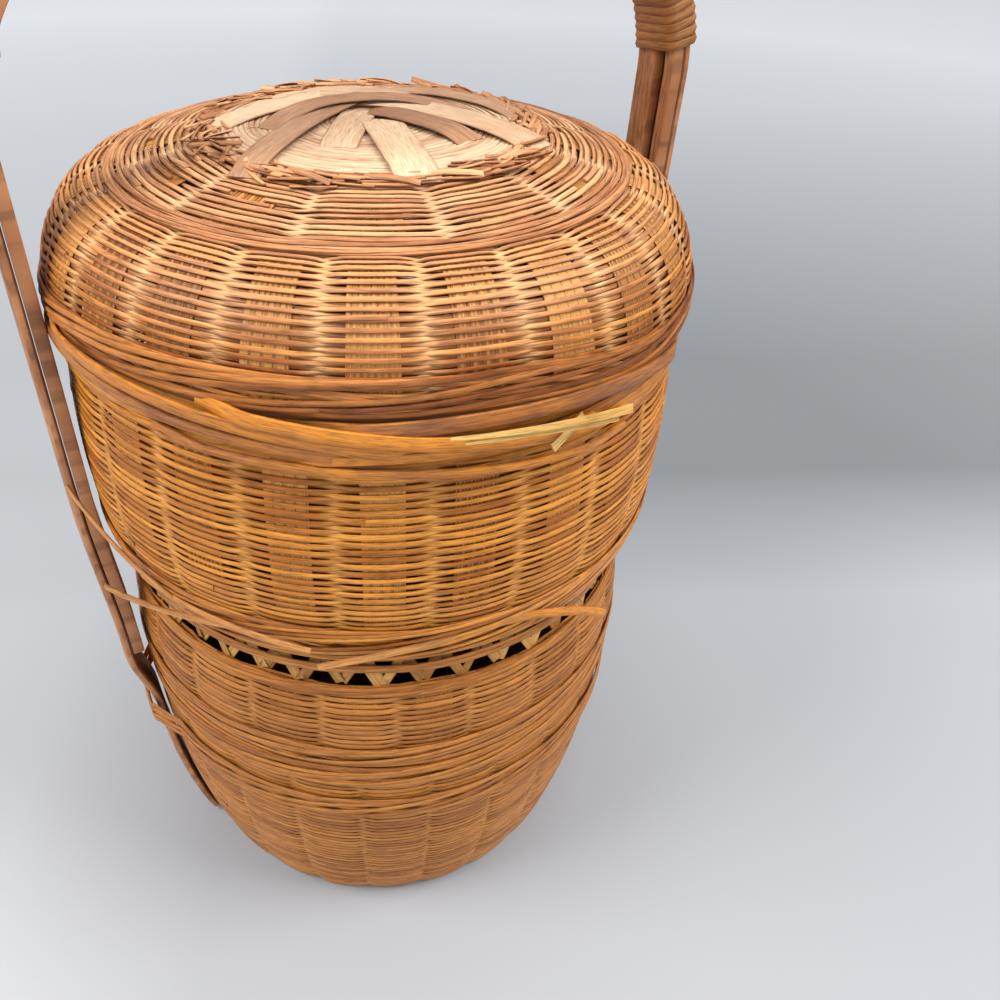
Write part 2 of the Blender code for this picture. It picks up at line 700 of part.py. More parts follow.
def inner_path():
    """Inside face of the inner strips as (distance, height), from one lower end to the other."""
    half = [(leg_inner_at(level), level) for level in even_levels(leg_strip_end_height, arch_spring_height)]
    for index in range(ARCH_HALF_STEPS + 1):
        angle = math.pi / 2.0 * index / ARCH_HALF_STEPS
        half.append((leg_inner_radius * math.cos(angle), arch_spring_height + ARCH_RISE * math.sin(angle)))
    return whole_path(half)


def outer_path():
    """Inside face of the outer strap, which lies on the inner strips and then runs down the bottom tier."""
    path = inner_path()
    outward = INNER_STRIP_THICKNESS + FIT_GAP
    upper = []
    for point, normal in zip(path, path_normals(path)):
        upper.append((point[0] + normal.x * outward, point[1] + normal.y * outward))
    marks = set(even_levels(STRAP_END_HEIGHT, leg_strip_end_height - LEG_STEP / 2.0))
    marks.update((waist_band_low, waist_band_low + WAIST_BAND_WIDTH))
    lower = [(strap_inner_at(level), level) for level in sorted(marks)]
    return lower + upper + [(-distance, level) for distance, level in lower[::-1]]


def whole_path(half):
    """Mirror half a path to the other leg."""
    return half + [(-distance, level) for distance, level in half[-2::-1]]


def path_normals(points):
    """Outward direction at each point of a handle path that runs from the right leg to the left one."""
    normals = []
    last = len(points) - 1
    for index in range(len(points)):
        before = Vector(points[max(index - 1, 0)])
        after = Vector(points[min(index + 1, last)])
        along = (after - before).normalized()
        normals.append(Vector((along.y, -along.x)))
    return normals


def bent_strip(name, path, near_side, far_side, thickness, colour, roughness):
    """Strip of chamfered rectangular section bent along a path in the handle's plane."""
    section = [(0.0, near_side), (thickness, near_side), (thickness, far_side), (0.0, far_side)]
    cut = min(STRAP_CHAMFER, min(thickness, abs(far_side - near_side)) * MOST_CHAMFER_SHARE)
    section = chamfered(section, cut)
    sections = []
    for point, normal in zip(path, path_normals(path)):
        loop = []
        for outward, sideways in section:
            loop.append((point[0] + normal.x * outward, sideways, point[1] + normal.y * outward))
        sections.append(loop)
    item = swept_solid(name, sections, False, colour, roughness)
    item.rotation_euler = (0.0, 0.0, math.radians(HANDLE_ANGLE))
    return item


def make_handle(brown):
    """Three strips bent together: a wide strap outside and two narrow strips with a groove between them."""
    half = STRAP_WIDTH / 2.0
    bent_strip("handle_outer_strap", outer_path(), -half, half, OUTER_STRAP_THICKNESS, *brown)
    path = inner_path()
    near = -half + NEAR_STRIP_WIDTH
    bent_strip("handle_near_strip", path, -half, near, INNER_STRIP_THICKNESS, *brown)
    far = half - FAR_STRIP_WIDTH
    bent_strip("handle_far_strip", path, far, half, INNER_STRIP_THICKNESS, *brown)


def arch_point(angle):
    """Middle of the handle's thickness on the arch, and its outward direction."""
    thickness = INNER_STRIP_THICKNESS + FIT_GAP + OUTER_STRAP_THICKNESS
    across = leg_inner_radius + thickness / 2.0
    rise = ARCH_RISE + thickness / 2.0
    point = Vector((across * math.cos(angle), arch_spring_height + rise * math.sin(angle)))
    normal = Vector((rise * math.cos(angle), across * math.sin(angle))).normalized()
    return point, normal


def cane_loop():
    """One turn round the handle's section as (outward, sideways) points, a clear gap away from it."""
    thickness = INNER_STRIP_THICKNESS + FIT_GAP + OUTER_STRAP_THICKNESS
    away = CANE_RADIUS + FIT_GAP
    half_thick = thickness / 2.0 + away
    half_wide = STRAP_WIDTH / 2.0 + away
    cut = STRAP_CHAMFER + away * (2.0 - math.sqrt(2.0))
    corners = [
        (-half_thick, -half_wide + cut),
        (-half_thick, half_wide - cut),
        (-half_thick + cut, half_wide),
        (half_thick - cut, half_wide),
        (half_thick, half_wide - cut),
        (half_thick, -half_wide + cut),
        (half_thick - cut, -half_wide),
        (-half_thick + cut, -half_wide),
    ]
    loop = []
    for index, corner in enumerate(corners):
        following = corners[(index + 1) % len(corners)]
        for step in range(POINTS_PER_EDGE):
            share = step / POINTS_PER_EDGE
            loop.append(tuple(Vector(corner).lerp(Vector(following), share)))
    return loop


def cane_points():
    """Centre line of the cane wound round the right shoulder, in the handle's own plane."""
    loop = cane_loop()
    start_share = 1
    angle = math.asin((cane_start_height - arch_spring_height) / ARCH_RISE)
    points = []
    total = CANE_TURNS * len(loop)
    for index in range(total + 1):
        centre, normal = arch_point(angle)
        outward, sideways = loop[(index + start_share) % len(loop)]
        place = centre + normal * outward
        points.append(Vector((place.x, sideways, place.y)))
        ahead, _ = arch_point(angle + CANE_ANGLE_STEP)
        angle += CANE_ANGLE_STEP * (CANE_PITCH / len(loop)) / (ahead - centre).length
    return points


def least_gap(points):
    """Least clear distance between neighbouring turns of the cane."""
    turn = 8 * POINTS_PER_EDGE
    least = None
    for first in range(len(points)):
        for second in range(first + turn // 2, len(points)):
            away = (points[first] - points[second]).length - 2.0 * CANE_RADIUS
            if least is None or away < least:
                least = away
    return least


def make_windings(cane):
    """Cane wound round each shoulder as one unbroken tube."""
    points = cane_points()
    print("least gap between turns of cane, mm: %.3f" % (least_gap(points) * 1000.0))
    for name, turned in (("right_shoulder_winding", 0.0), ("left_shoulder_winding", 180.0)):
        curve = bpy.data.curves.new(name, "CURVE")
        curve.dimensions = "3D"
        curve.bevel_depth = CANE_RADIUS
        curve.bevel_resolution = 1
        curve.use_fill_caps = True
        spline = curve.splines.new("POLY")
        spline.points.add(len(points) - 1)
        for target, point in zip(spline.points, points):
            target.co = (point.x, point.y, point.z, 1.0)
        item = bpy.data.objects.new(name, curve)
        bpy.context.scene.collection.objects.link(item)
        item.data.materials.append(make_material(name, *cane))
        item.rotation_euler = (0.0, 0.0, math.radians(HANDLE_ANGLE + turned))


def main():
    """Build the whole basket."""
    clear_scene()
    bamboo = ((0.62, 0.36, 0.15), 0.55)
    pale = ((0.75, 0.58, 0.36), 0.60)
    brown = ((0.30, 0.14, 0.06), 0.40)
    cane = ((0.50, 0.28, 0.13), 0.50)
    make_walls(bamboo)
    make_hoops(pale)
    make_borders(bamboo)
    make_waist_band(bamboo)
    make_collar(pale, bamboo)
    make_crown(pale)
    make_handle(brown)
    make_windings(cane)


main()
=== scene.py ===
"""Looks of the tiered bamboo food basket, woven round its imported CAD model."""

import math

import bpy
import numpy as np
from mathutils import Matrix, Vector


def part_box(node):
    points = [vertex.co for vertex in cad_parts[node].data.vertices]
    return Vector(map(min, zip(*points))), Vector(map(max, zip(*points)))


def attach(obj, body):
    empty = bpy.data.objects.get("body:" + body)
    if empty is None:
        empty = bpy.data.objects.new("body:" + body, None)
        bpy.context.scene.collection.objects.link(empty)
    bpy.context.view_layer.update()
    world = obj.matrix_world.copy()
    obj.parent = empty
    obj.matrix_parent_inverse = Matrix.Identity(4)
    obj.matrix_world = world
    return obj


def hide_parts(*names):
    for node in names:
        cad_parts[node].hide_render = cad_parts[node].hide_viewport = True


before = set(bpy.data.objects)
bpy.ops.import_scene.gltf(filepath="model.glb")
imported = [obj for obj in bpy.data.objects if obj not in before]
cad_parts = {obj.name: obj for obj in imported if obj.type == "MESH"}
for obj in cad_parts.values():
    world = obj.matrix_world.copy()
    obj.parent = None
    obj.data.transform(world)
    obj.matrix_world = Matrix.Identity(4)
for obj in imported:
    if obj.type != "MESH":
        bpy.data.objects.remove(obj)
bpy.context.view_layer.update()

MM = 0.001

# Thickness of the CAD model's woven walls, and the angle of its handle
SHEET = 0.0022
HANDLE_ANGLE = math.radians(23.0)

# Weaving
STAKES = 24
STAKE_THICKNESS = 0.5 * MM
WEAVER_THICKNESS = 0.8 * MM
WEAVER_OVERLAP = 0.16
WEAVER_STEPS = int(8 * STAKES * (1.0 + WEAVER_OVERLAP / math.tau)) + 1
WEAVER_VALLEY = 0.25 * MM
BORDER_STEPS, BAND_STEPS, CURVE_STEPS = 420, 520, 60
UPWARD = (0.0, 0.0, 1.0)


def both_sides(side, middle=()):
    """One side of a section, what lies in its middle, and that side mirrored."""
    return side + middle + tuple((-across, outward, dirt_and_painted_shade) for across, outward, dirt_and_painted_shade in reversed(side))


# Sections of a strand as (across, outward, darkening): shares of the half sizes, and how dark each corner is
# made, as some dirt and mostly painted shade on undersides, on edges and in the gaps between strands
# On a woven wall across +1 points up, so a weaver's lower edge gets more painted shade than its upper edge,
# as if lit from above
OVAL = (
    (1.0, -0.35, 0.6), (0.92, 0.52, 0.0), (0.0, 1.0, 0.0), (-0.92, 0.52, 0.5),
    (-1.0, -0.35, 1.0), (-0.55, -0.9, 1.0), (0.55, -0.9, 1.0),
)
SPLIT = (
    (1.0, -0.6, 0.5), (1.0, 0.6, 0.0), (0.95, 1.0, 0.0), (0.0, 1.0, 0.0),
    (-0.84, 0.97, 0.3), (-1.0, 0.5, 1.0), (-1.0, -0.6, 1.0), (0.0, -1.0, 1.0),
)
FLAT = both_sides(((1.0, -0.45, 0.5), (1.0, 0.45, 0.3), (0.9, 1.0, 0.0))) + (
    (-0.9, -1.0, 0.6), (0.9, -1.0, 0.6),
)
WIDE = both_sides(
    ((1.0, -0.5, 1.0), (1.0, 0.3, 0.9), (0.97, 0.8, 0.5), (0.88, 1.0, 0.1), (0.4, 1.0, 0.0)),
    ((0.0, 0.9, 0.0),),
) + ((0.0, -1.0, 1.0),)
# The strap's inner face, seen in the groove between the inner strips, is darkened as painted shade
STRAP = both_sides(
    ((1.0, -0.55, 0.1), (1.0, 0.25, 0.0), (0.94, 0.68, 0.0), (0.80, 0.93, 0.0), (0.4, 1.0, 0.0)),
    ((0.0, 1.0, 0.0),),
) + both_sides(((-0.94, -0.86, 0.4), (-0.80, -1.0, 0.9)), ((0.0, -1.0, 1.0),))
STRIP = both_sides(((1.0, -0.75, 0.1), (1.0, 0.9, 0.2), (0.92, 1.0, 0.3))) + (
    (-0.93, -0.93, 0.0), (-0.78, -1.0, 0.0), (-0.40, -0.97, 0.15), (-0.28, -0.90, 0.55), (-0.16, -0.97, 0.1),
    (0.30, -1.0, 0.0), (0.78, -1.0, 0.0), (0.93, -0.93, 0.0),
)

# Camera, fitted to the photograph
PITCH, TURN, ROLL = math.radians(38.31), math.radians(4.34), math.radians(1.88)
CAMERA_PLACE = (0.0028, -0.30505, 0.4020)
SENSOR_WIDTH, LENS, SHIFT = 36.0, 31.86, 0.0625
NEAREST, FARTHEST = 0.01, 60.0


def placed(name, data):
    """A new object in the scene."""
    item = bpy.data.objects.new(name, data)
    bpy.context.scene.collection.objects.link(item)
    return item


def make_camera():
    """Camera at the photograph's viewing angle."""
    forward = Vector((math.sin(TURN) * math.cos(PITCH), math.cos(TURN) * math.cos(PITCH), -math.sin(PITCH)))
    level_right = Vector((math.cos(TURN), -math.sin(TURN), 0.0))
    level_up = level_right.cross(forward)
    right = math.cos(ROLL) * level_right + math.sin(ROLL) * level_up
    up = -math.sin(ROLL) * level_right + math.cos(ROLL) * level_up
    data = bpy.data.cameras.new("camera")
    data.sensor_width = SENSOR_WIDTH
    data.lens = LENS
    data.shift_x = SHIFT
    data.clip_start = NEAREST
    data.clip_end = FARTHEST
    camera = placed("camera", data)
    matrix = Matrix((right, up, -forward)).transposed().to_4x4()
    matrix.translation = CAMERA_PLACE
    camera.matrix_world = matrix
    bpy.context.scene.camera = camera


# Noise steps per metre along a strand, and per metre across a strand or a hoop
PATCH_RUN, FIBRE_RUN, HAIR_RUN = 22.0, 45.0, 160.0
FIBRE_FINE, HOOP_FINE = 900.0, 1500.0
# How many times finer the hairs are across a strand than its fibres, and how deep the fibres look
HAIR_FINE, FIBRE_DEPTH, FIBRE_STRENGTH = 2.6, 0.00012, 0.7

# Heights between which the lid turns paler towards its top, as painted light with partly wear, the floor's
# painted glow far away, and the studio's light
TOP_LIGHT_LOW, TOP_LIGHT_HIGH, TOP_LIGHT_SHARE = 0.289, 0.314, 0.55
FAR_PAINTED_GLOW = 0.51
SKY, WARM = (0.95, 0.97, 1.0, 1.0), (1.0, 0.97, 0.93)
SKY_LIGHT, SKY_SEEN = 0.36, 0.78


class Nodes:
    """Short ways to add nodes to one material."""

    def __init__(self, name):
        self.material = bpy.data.materials.new(name)
        self.material.use_nodes = True
        self.tree = self.material.node_tree
        self.shader = self.tree.nodes["Principled BSDF"]

    def add(self, kind, inputs=(), output=0, **settings):
        """Add a node with some settings and inputs, and return one of its outputs."""
        node = self.tree.nodes.new(kind)
        for key, value in settings.items():
            setattr(node, key, value)
        self.feed(node, dict(inputs))
        return node.outputs[output]

    def feed(self, node, inputs):
        """Set a node's inputs to numbers and colours, or join them to other nodes' outputs."""
        for key, value in inputs.items():
            if isinstance(value, (int, float, tuple)):
                node.inputs[key].default_value = value
            else:
                self.tree.links.new(value, node.inputs[key])

    def math(self, operation, *values, clamp=False):
        return self.add("ShaderNodeMath", enumerate(values), operation=operation, use_clamp=clamp)

    def times(self, first, second, clamp=False):
        return self.math("MULTIPLY", first, second, clamp=clamp)

    def vector(self, *values):
        return self.add("ShaderNodeCombineXYZ", enumerate(values))

    def parts(self, vector):
        node = self.tree.nodes.new("ShaderNodeSeparateXYZ")
        self.feed(node, {0: vector})
        return node.outputs

    def place(self):
        return self.add("ShaderNodeTexCoord", output="Object")

    def attribute(self, name, output="Fac"):
        return self.add("ShaderNodeAttribute", output=output, attribute_name=name)

    def noise(self, place, detail=2.0, roughness=0.5, scale=1.0):
        inputs = {"Vector": place, "Scale": scale, "Detail": detail, "Roughness": roughness}
        return self.add("ShaderNodeTexNoise", inputs, "Fac")

    def remap(self, value, low, high, to_low=0.0, to_high=1.0):
        inputs = {"Value": value, "From Min": low, "From Max": high, "To Min": to_low, "To Max": to_high}
        return self.add("ShaderNodeMapRange", inputs)

    def centred(self, value):
        """A noise's usual values, stretched to lie round 0."""
        return self.remap(value, 0.3, 0.7, -0.5, 0.5)

    def mix(self, share, first, second, blend="MIX"):
        first, second = (item + (1.0,) if isinstance(item, tuple) else item for item in (first, second))
        inputs = {"Factor": share, "A": first, "B": second}
        return self.add("ShaderNodeMix", inputs, "Result", data_type="RGBA", blend_type=blend)

    def finish(self, colour, roughness, specular=0.5, height=None):
        """Join what was made to the shader, where height is how far the fibres stand out."""
        inputs = {"Base Color": colour, "Roughness": roughness, "Specular IOR Level": specular}
        if height is not None:
            bump = {"Strength": FIBRE_STRENGTH, "Distance": FIBRE_DEPTH, "Height": height}
            inputs["Normal"] = self.add("ShaderNodeBump", bump, "Normal")
        self.feed(self.shader, inputs)
        return self.material


def tone(red, green, blue):
    """Linear colour from the 0 to 255 numbers of a screen colour."""
    shares = (level / 255.0 for level in (red, green, blue))
    return tuple(share / 12.92 if share <= 0.04045 else ((share + 0.055) / 1.055) ** 2.4 for share in shares)


def bamboo(name, light, dark, pale, streaks=0.5, wear=0.5, roughness=0.45, fine=1.0, dirt_and_painted_shade=(0.26, 0.13, 0.05),
           lit_faded_top=None):
    """Split bamboo: long fibres, patches that differ between strands, pale where it is bent, darker where the
    section marks it, as some dirt and mostly painted shade.

    Its colours are screen colours from 0 to 255. Towards the top of the lid it turns paler, to a given
    colour, as painted light where the top faces the lamps, with partly wear."""
    made = Nodes(name)
    light, dark, pale = tone(*light), tone(*dark), tone(*pale)
    along, across, seed = made.parts(made.attribute("flow", "Vector"))
    far_seed = made.times(seed, 91.0)
    patches = made.noise(made.vector(made.times(along, PATCH_RUN), far_seed, 0.0))
    wide = made.times(across, FIBRE_FINE * fine)
    fibres = made.noise(made.vector(made.times(along, FIBRE_RUN), wide, far_seed), 3.0, 0.65)
    hairs = made.noise(made.vector(made.times(along, HAIR_RUN), made.times(wide, HAIR_FINE), far_seed))
    amount = made.math("MULTIPLY_ADD", made.centred(patches), 0.9, seed)
    amount = made.math("MULTIPLY_ADD", made.centred(fibres), streaks, amount)
    colour = made.mix(made.remap(amount, 0.0, 1.0), dark, light)
    # Paler towards the top of the lid: painted light for the top facing the lamps, partly wear
    if lit_faded_top:
        high = made.remap(made.parts(made.place())["Z"], TOP_LIGHT_LOW, TOP_LIGHT_HIGH, 0.0, TOP_LIGHT_SHARE)
        colour = made.mix(made.times(high, made.remap(fibres, 0.3, 0.6, 0.5, 1.0)), colour, tone(*lit_faded_top))
    worn = made.times(made.attribute("bend"), made.remap(hairs, 0.35, 0.6, 0.35, 1.0))
    colour = made.mix(made.times(worn, wear, clamp=True), colour, pale)
    lines = made.remap(hairs, 0.38, 0.52, 0.64, 1.0)
    colour = made.mix(1.0, colour, made.vector(lines, lines, lines), "MULTIPLY")
    # Darker where the section marks it: some dirt, and painted shade under strands and in the gaps between
    # them
    soiled_and_shaded = made.times(made.attribute("dirt_and_painted_shade"), made.remap(patches, 0.3, 0.7, 0.7, 1.0))
    colour = made.mix(soiled_and_shaded, colour, made.mix(1.0, colour, dirt_and_painted_shade, "MULTIPLY"))
    gloss = made.remap(fibres, 0.3, 0.7, roughness - 0.08, roughness + 0.12)
    return made.finish(colour, gloss, 0.35, made.math("ADD", fibres, made.times(hairs, 0.6)))


def hoop_material(name, light, dark):
    """Split bamboo bent into a hoop round the Z axis: fibres that run round it."""
    made = Nodes(name)
    x, y, z = made.parts(made.place())
    radius = made.math("SQRT", made.math("ADD", made.times(x, x), made.times(y, y)))
    turn = made.math("ARCTAN2", y, x)
    fine_z, fine_radius = made.times(z, HOOP_FINE), made.times(radius, HOOP_FINE)
    fibres = made.noise(made.vector(made.times(turn, 6.0), fine_z, fine_radius), 3.0, 0.65)
    patches = made.noise(made.vector(made.times(turn, 3.0), made.times(z, 120.0), 0.0))
    amount = made.math("MULTIPLY_ADD", made.centred(fibres), 0.8, made.remap(patches, 0.3, 0.7))
    colour = made.mix(made.remap(amount, 0.0, 1.0), dark, light)
    return made.finish(colour, made.remap(fibres, 0.3, 0.7, 0.42, 0.62), height=fibres)


def floor_material():
    """Pale bluish grey studio paper with painted light and shade: lighter in front and to the left, a painted
    shadow darker behind the object, and a painted glow far away that only the camera sees.
    """
    made = Nodes("pale_floor")
    place = made.place()
    x, depth, _ = made.parts(place)
    away = made.add("ShaderNodeVectorMath", {0: place}, "Value", operation="LENGTH")
    cloud = made.remap(made.noise(place, 1.0, scale=1.4), 0.3, 0.7)
    # Painted light and shade: the tone follows depth and side to match how the lamps light the floor, with a
    # painted shadow band behind the object
    near = made.mix(made.remap(depth, -0.10, 0.08), tone(172, 176, 183), tone(179, 184, 191))
    near = made.mix(made.times(cloud, 0.15), near, tone(190, 194, 200))
    painted_shadow_band = made.times(made.remap(depth, 0.10, 0.235), made.remap(depth, 1.3, 0.4))
    colour = made.mix(painted_shadow_band, near, tone(132, 136, 141))
    colour = made.mix(made.remap(x, -0.08, -0.18, 0.0, 0.5), colour, tone(206, 210, 217))
    # Painted glow of the far floor, seen only by the camera
    seen = made.add("ShaderNodeLightPath", output="Is Camera Ray")
    painted_far_glow = made.times(seen, made.remap(away, 0.5, 2.1, 0.0, FAR_PAINTED_GLOW))
    made.feed(made.shader, {"Emission Strength": painted_far_glow, "Emission Color": SKY})
    return made.finish(colour, 0.9, 0.1)


# Geometry of strands
class Bundle:
    """Gathers strands and turns them into one mesh."""

    def __init__(self, seed):
        self.random = np.random.default_rng(seed)
        self.places, self.corners, self.counts, self.flow, self.bend, self.dirt_and_painted_shade = ([] for _ in range(6))
        self.total = 0

    def add(self, path, outward, half_width, half_thick, bend=0.0, lean=0.0, section=OVAL, seeds=None):
        """Add strands with capped ends: path and outward are (strands, points, 3), all sizes in metres."""
        if path.ndim == 2:
            path = path[None]
        strands, points, _ = path.shape
        values = (half_width, half_thick, bend, lean)
        half_width, half_thick, bend, lean = (np.broadcast_to(value, (strands, points)) for value in values)
        along = np.gradient(path, axis=1)
        along /= np.linalg.norm(along, axis=2, keepdims=True)
        side = np.cross(np.broadcast_to(outward, path.shape), along)
        side /= np.linalg.norm(side, axis=2, keepdims=True)
        face = np.cross(along, side)
        cos, sin = np.cos(lean)[..., None], np.sin(lean)[..., None]
        side, face = cos * side + sin * face, cos * face - sin * side
        shape = np.array(section)
        ring = len(shape)
        across = half_width[..., None] * shape[:, 0]
        up = half_thick[..., None] * shape[:, 1]
        places = path[:, :, None] + side[:, :, None] * across[..., None] + face[:, :, None] * up[..., None]
        step = np.linalg.norm(np.diff(path, axis=1), axis=2)
        walked = np.concatenate([np.zeros((strands, 1)), np.cumsum(step, axis=1)], axis=1)
        if seeds is None:
            seeds = self.random.random(strands)
        seeds = np.broadcast_to(seeds, (strands,))[:, None, None]
        flow = np.stack(np.broadcast_arrays(walked[..., None], across, seeds), axis=-1)
        index = self.total + np.arange(strands * points * ring).reshape(strands, points, ring)
        following = np.roll(index, -1, axis=2)
        quads = np.stack([index[:, :-1], following[:, :-1], following[:, 1:], index[:, 1:]], axis=-1)
        caps = np.concatenate([index[:, 0, ::-1], index[:, -1]])
        self.places.append(places.reshape(-1, 3))
        self.flow.append(flow.reshape(-1, 3))
        self.bend.append(np.repeat(bend, ring))
        self.dirt_and_painted_shade.append(np.tile(shape[:, 2], strands * points))
        self.corners += [quads.ravel(), caps.ravel()]
        self.counts += [np.full(quads.size // 4, 4), np.full(len(caps), ring)]
        self.total += index.size

    def build(self, name, material, body, slot, replaces=()):
        """Make the mesh, and say what it rides on and which CAD nodes it stands for."""
        places = np.concatenate(self.places)
        corners = np.concatenate(self.corners).astype(np.int32)
        counts = np.concatenate(self.counts)
        mesh = bpy.data.meshes.new(name)
        mesh.vertices.add(len(places))
        mesh.vertices.foreach_set("co", places.astype(np.float32).ravel())
        mesh.loops.add(len(corners))
        mesh.loops.foreach_set("vertex_index", corners)
        mesh.polygons.add(len(counts))
        starts = np.concatenate([[0], np.cumsum(counts)[:-1]]).astype(np.int32)
        mesh.polygons.foreach_set("loop_start", starts)
        mesh.update(calc_edges=True)
        mesh.validate()
        for key, kind, field, values in (
            ("flow", "FLOAT_VECTOR", "vector", self.flow),
            ("bend", "FLOAT", "value", self.bend),
            ("dirt_and_painted_shade", "FLOAT", "value", self.dirt_and_painted_shade),
        ):
            attribute = mesh.attributes.new(key, kind, "POINT")
            attribute.data.foreach_set(field, np.concatenate(values).astype(np.float32).ravel())
        mesh.shade_smooth()
        mesh.set_sharp_from_angle(angle=math.radians(50.0))
        mesh.materials.append(material)
        item = placed(name, mesh)
        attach(item, body)
        if replaces:
            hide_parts(*replaces)


class Profile:
    """A sheet's outside as a curve of radius and height, walked by distance from its first point."""

    def __init__(self, radii, heights, inset=0.0):
        rise, run = np.gradient(heights), np.gradient(radii)
        size = np.hypot(rise, run)
        self.out_r = rise / size
        self.out_z = -run / size
        self.radii = radii - inset * self.out_r
        self.heights = heights - inset * self.out_z
        step = np.hypot(np.diff(self.radii), np.diff(self.heights))
        self.walk = np.concatenate([[0.0], np.cumsum(step)])
        self.length = self.walk[-1]

    def at(self, walked, lift=0.0):
        """Radius, height and outward direction at a distance, also beyond the ends, moved outward by lift."""
        curves = (self.radii, self.heights, self.out_r, self.out_z)
        radius, height, out_r, out_z = (np.interp(walked, self.walk, curve) for curve in curves)
        beyond = walked - np.clip(walked, 0.0, self.length)
        radius = radius + out_r * lift - out_z * beyond
        height = height + out_z * lift + out_r * beyond
        return radius, height, out_r, out_z

    def lines(self, walked, azimuth, lift=0.0):
        """Points on the sheet at azimuths, and the outward directions there."""
        radius, height, out_r, out_z = self.at(walked, lift)
        return round_place(radius, azimuth, height), round_place(out_r, azimuth, out_z)


def round_place(radius, azimuth, height):
    """Points at an azimuth measured from the front (-Y) towards +X."""
    radius, azimuth, height = np.broadcast_arrays(radius, azimuth, height)
    return np.stack([radius * np.sin(azimuth), -radius * np.cos(azimuth), height], axis=-1)


def eased(share):
    share = np.clip(share, 0.0, 1.0)
    return share * share * (3.0 - 2.0 * share)


def wobble(random, rows, azimuth, waves, drift=0.0):
    """Smooth wandering of about -1 to 1 along each row; with a drift, neighbouring rows wander alike."""
    total = np.zeros(azimuth.shape)
    number = np.arange(rows)[:, None]
    for wave in waves:
        if drift:
            phase = random.random() * math.tau + number * drift * (random.random() - 0.5)
        else:
            phase = random.random((rows, 1)) * math.tau
        total += np.sin(wave * azimuth + phase) / math.sqrt(wave)
    return total / 2.0


def wave_over(azimuth, first, stakes, flatness=2.2):
    """+1 over every second stake and -1 over the others, with level stretches on the stakes."""
    beat = np.cos((azimuth - first) * stakes / 2.0)
    return np.tanh(flatness * beat) / math.tanh(flatness)


def weave_rows(bundle, profile, marks, first, width, cross_share, lift, stakes=STAKES, thick=WEAVER_THICKNESS,
               wander=0.3 * MM, parity_start=0, gaps=(), loose_share=0.35, raised=None):
    """Weavers that pass over and under the stakes, one row for each mark along the profile."""
    random = bundle.random
    rows = len(marks)
    marks = np.asarray(marks, float)[:, None]
    parity = np.where((np.arange(rows) + parity_start) % 2 == 0, 1.0, -1.0)[:, None]
    starts = random.random((rows, 1)) * math.tau
    spans = np.full((rows, 1), math.tau + WEAVER_OVERLAP)
    for azimuth, walked, opening in gaps:
        over = wave_over(azimuth, first, stakes) * parity[:, 0] > 0.0
        row = int(np.argmin(np.abs(marks[:, 0] - walked) + np.where(over, 0.0, 1.0)))
        starts[row] = azimuth + opening / 2.0
        spans[row] = math.tau - opening
    walked_round = spans * np.linspace(0.0, 1.0, WEAVER_STEPS)[None, :]
    azimuth = starts + walked_round
    wave = wave_over(azimuth, first, stakes) * parity
    level = marks + wander * wobble(np.random.default_rng(7), rows, azimuth, (2, 3, 5), 0.9)
    level += wander * loose_share * wobble(random, rows, azimuth, (3, 7, 11))
    level += 0.08 * MM * wobble(random, rows, azimuth, (17, 23, 31)) * 3.0
    closed = spans > math.tau
    fading = WEAVER_OVERLAP * 0.6
    tail = np.where(closed, eased((walked_round - spans + WEAVER_OVERLAP) / fading), 0.0)
    head = np.where(closed, eased(1.0 - walked_round / fading), 0.0)
    out = lift * wave - WEAVER_VALLEY * (1.0 - np.abs(wave)) + 0.35 * MM * tail - 0.35 * MM * head
    level += 0.5 * MM * tail
    if raised is not None:
        level += raised(azimuth) * (1.0 - level / profile.length)
    size = width * (cross_share + (1.0 - cross_share) * np.abs(wave))
    size *= 1.0 + 0.13 * random.standard_normal((rows, 1)).clip(-1.5, 1.5)
    bend = (1.0 - np.abs(wave)) ** 1.5
    bundle.add(*profile.lines(level, azimuth, out), size / 2.0, thick / 2.0, bend)


def stake_strips(bundle, profile, low, high, first, count=STAKES, width=12.9 * MM, taper=1.0):
    """Flat stakes that run up the profile, each as four strips bent round the sheet."""
    random = bundle.random
    share = np.linspace(0.0, 1.0, 40)[None, :]
    low = np.broadcast_to(low, (count,))[:, None]
    walked = low + (high - low) * share
    offsets = np.linspace(-1.0, 1.0, 5)
    centres = first + np.arange(count)[:, None] * math.tau / count
    centres += 0.006 * random.standard_normal((count, 1))
    half = width / 2.0 * (1.0 + (taper - 1.0) * share)
    half = half * (1.0 + 0.05 * random.standard_normal((count, 1)))
    seeds = random.random(count)
    radius = profile.at(walked)[0]
    for left, right in zip(offsets, offsets[1:]):
        azimuth = centres + (left + right) / 2.0 * half / radius
        bundle.add(*profile.lines(walked, azimuth), half / 4.0 * 1.02, STAKE_THICKNESS / 2.0, section=FLAT,
                   seeds=seeds)


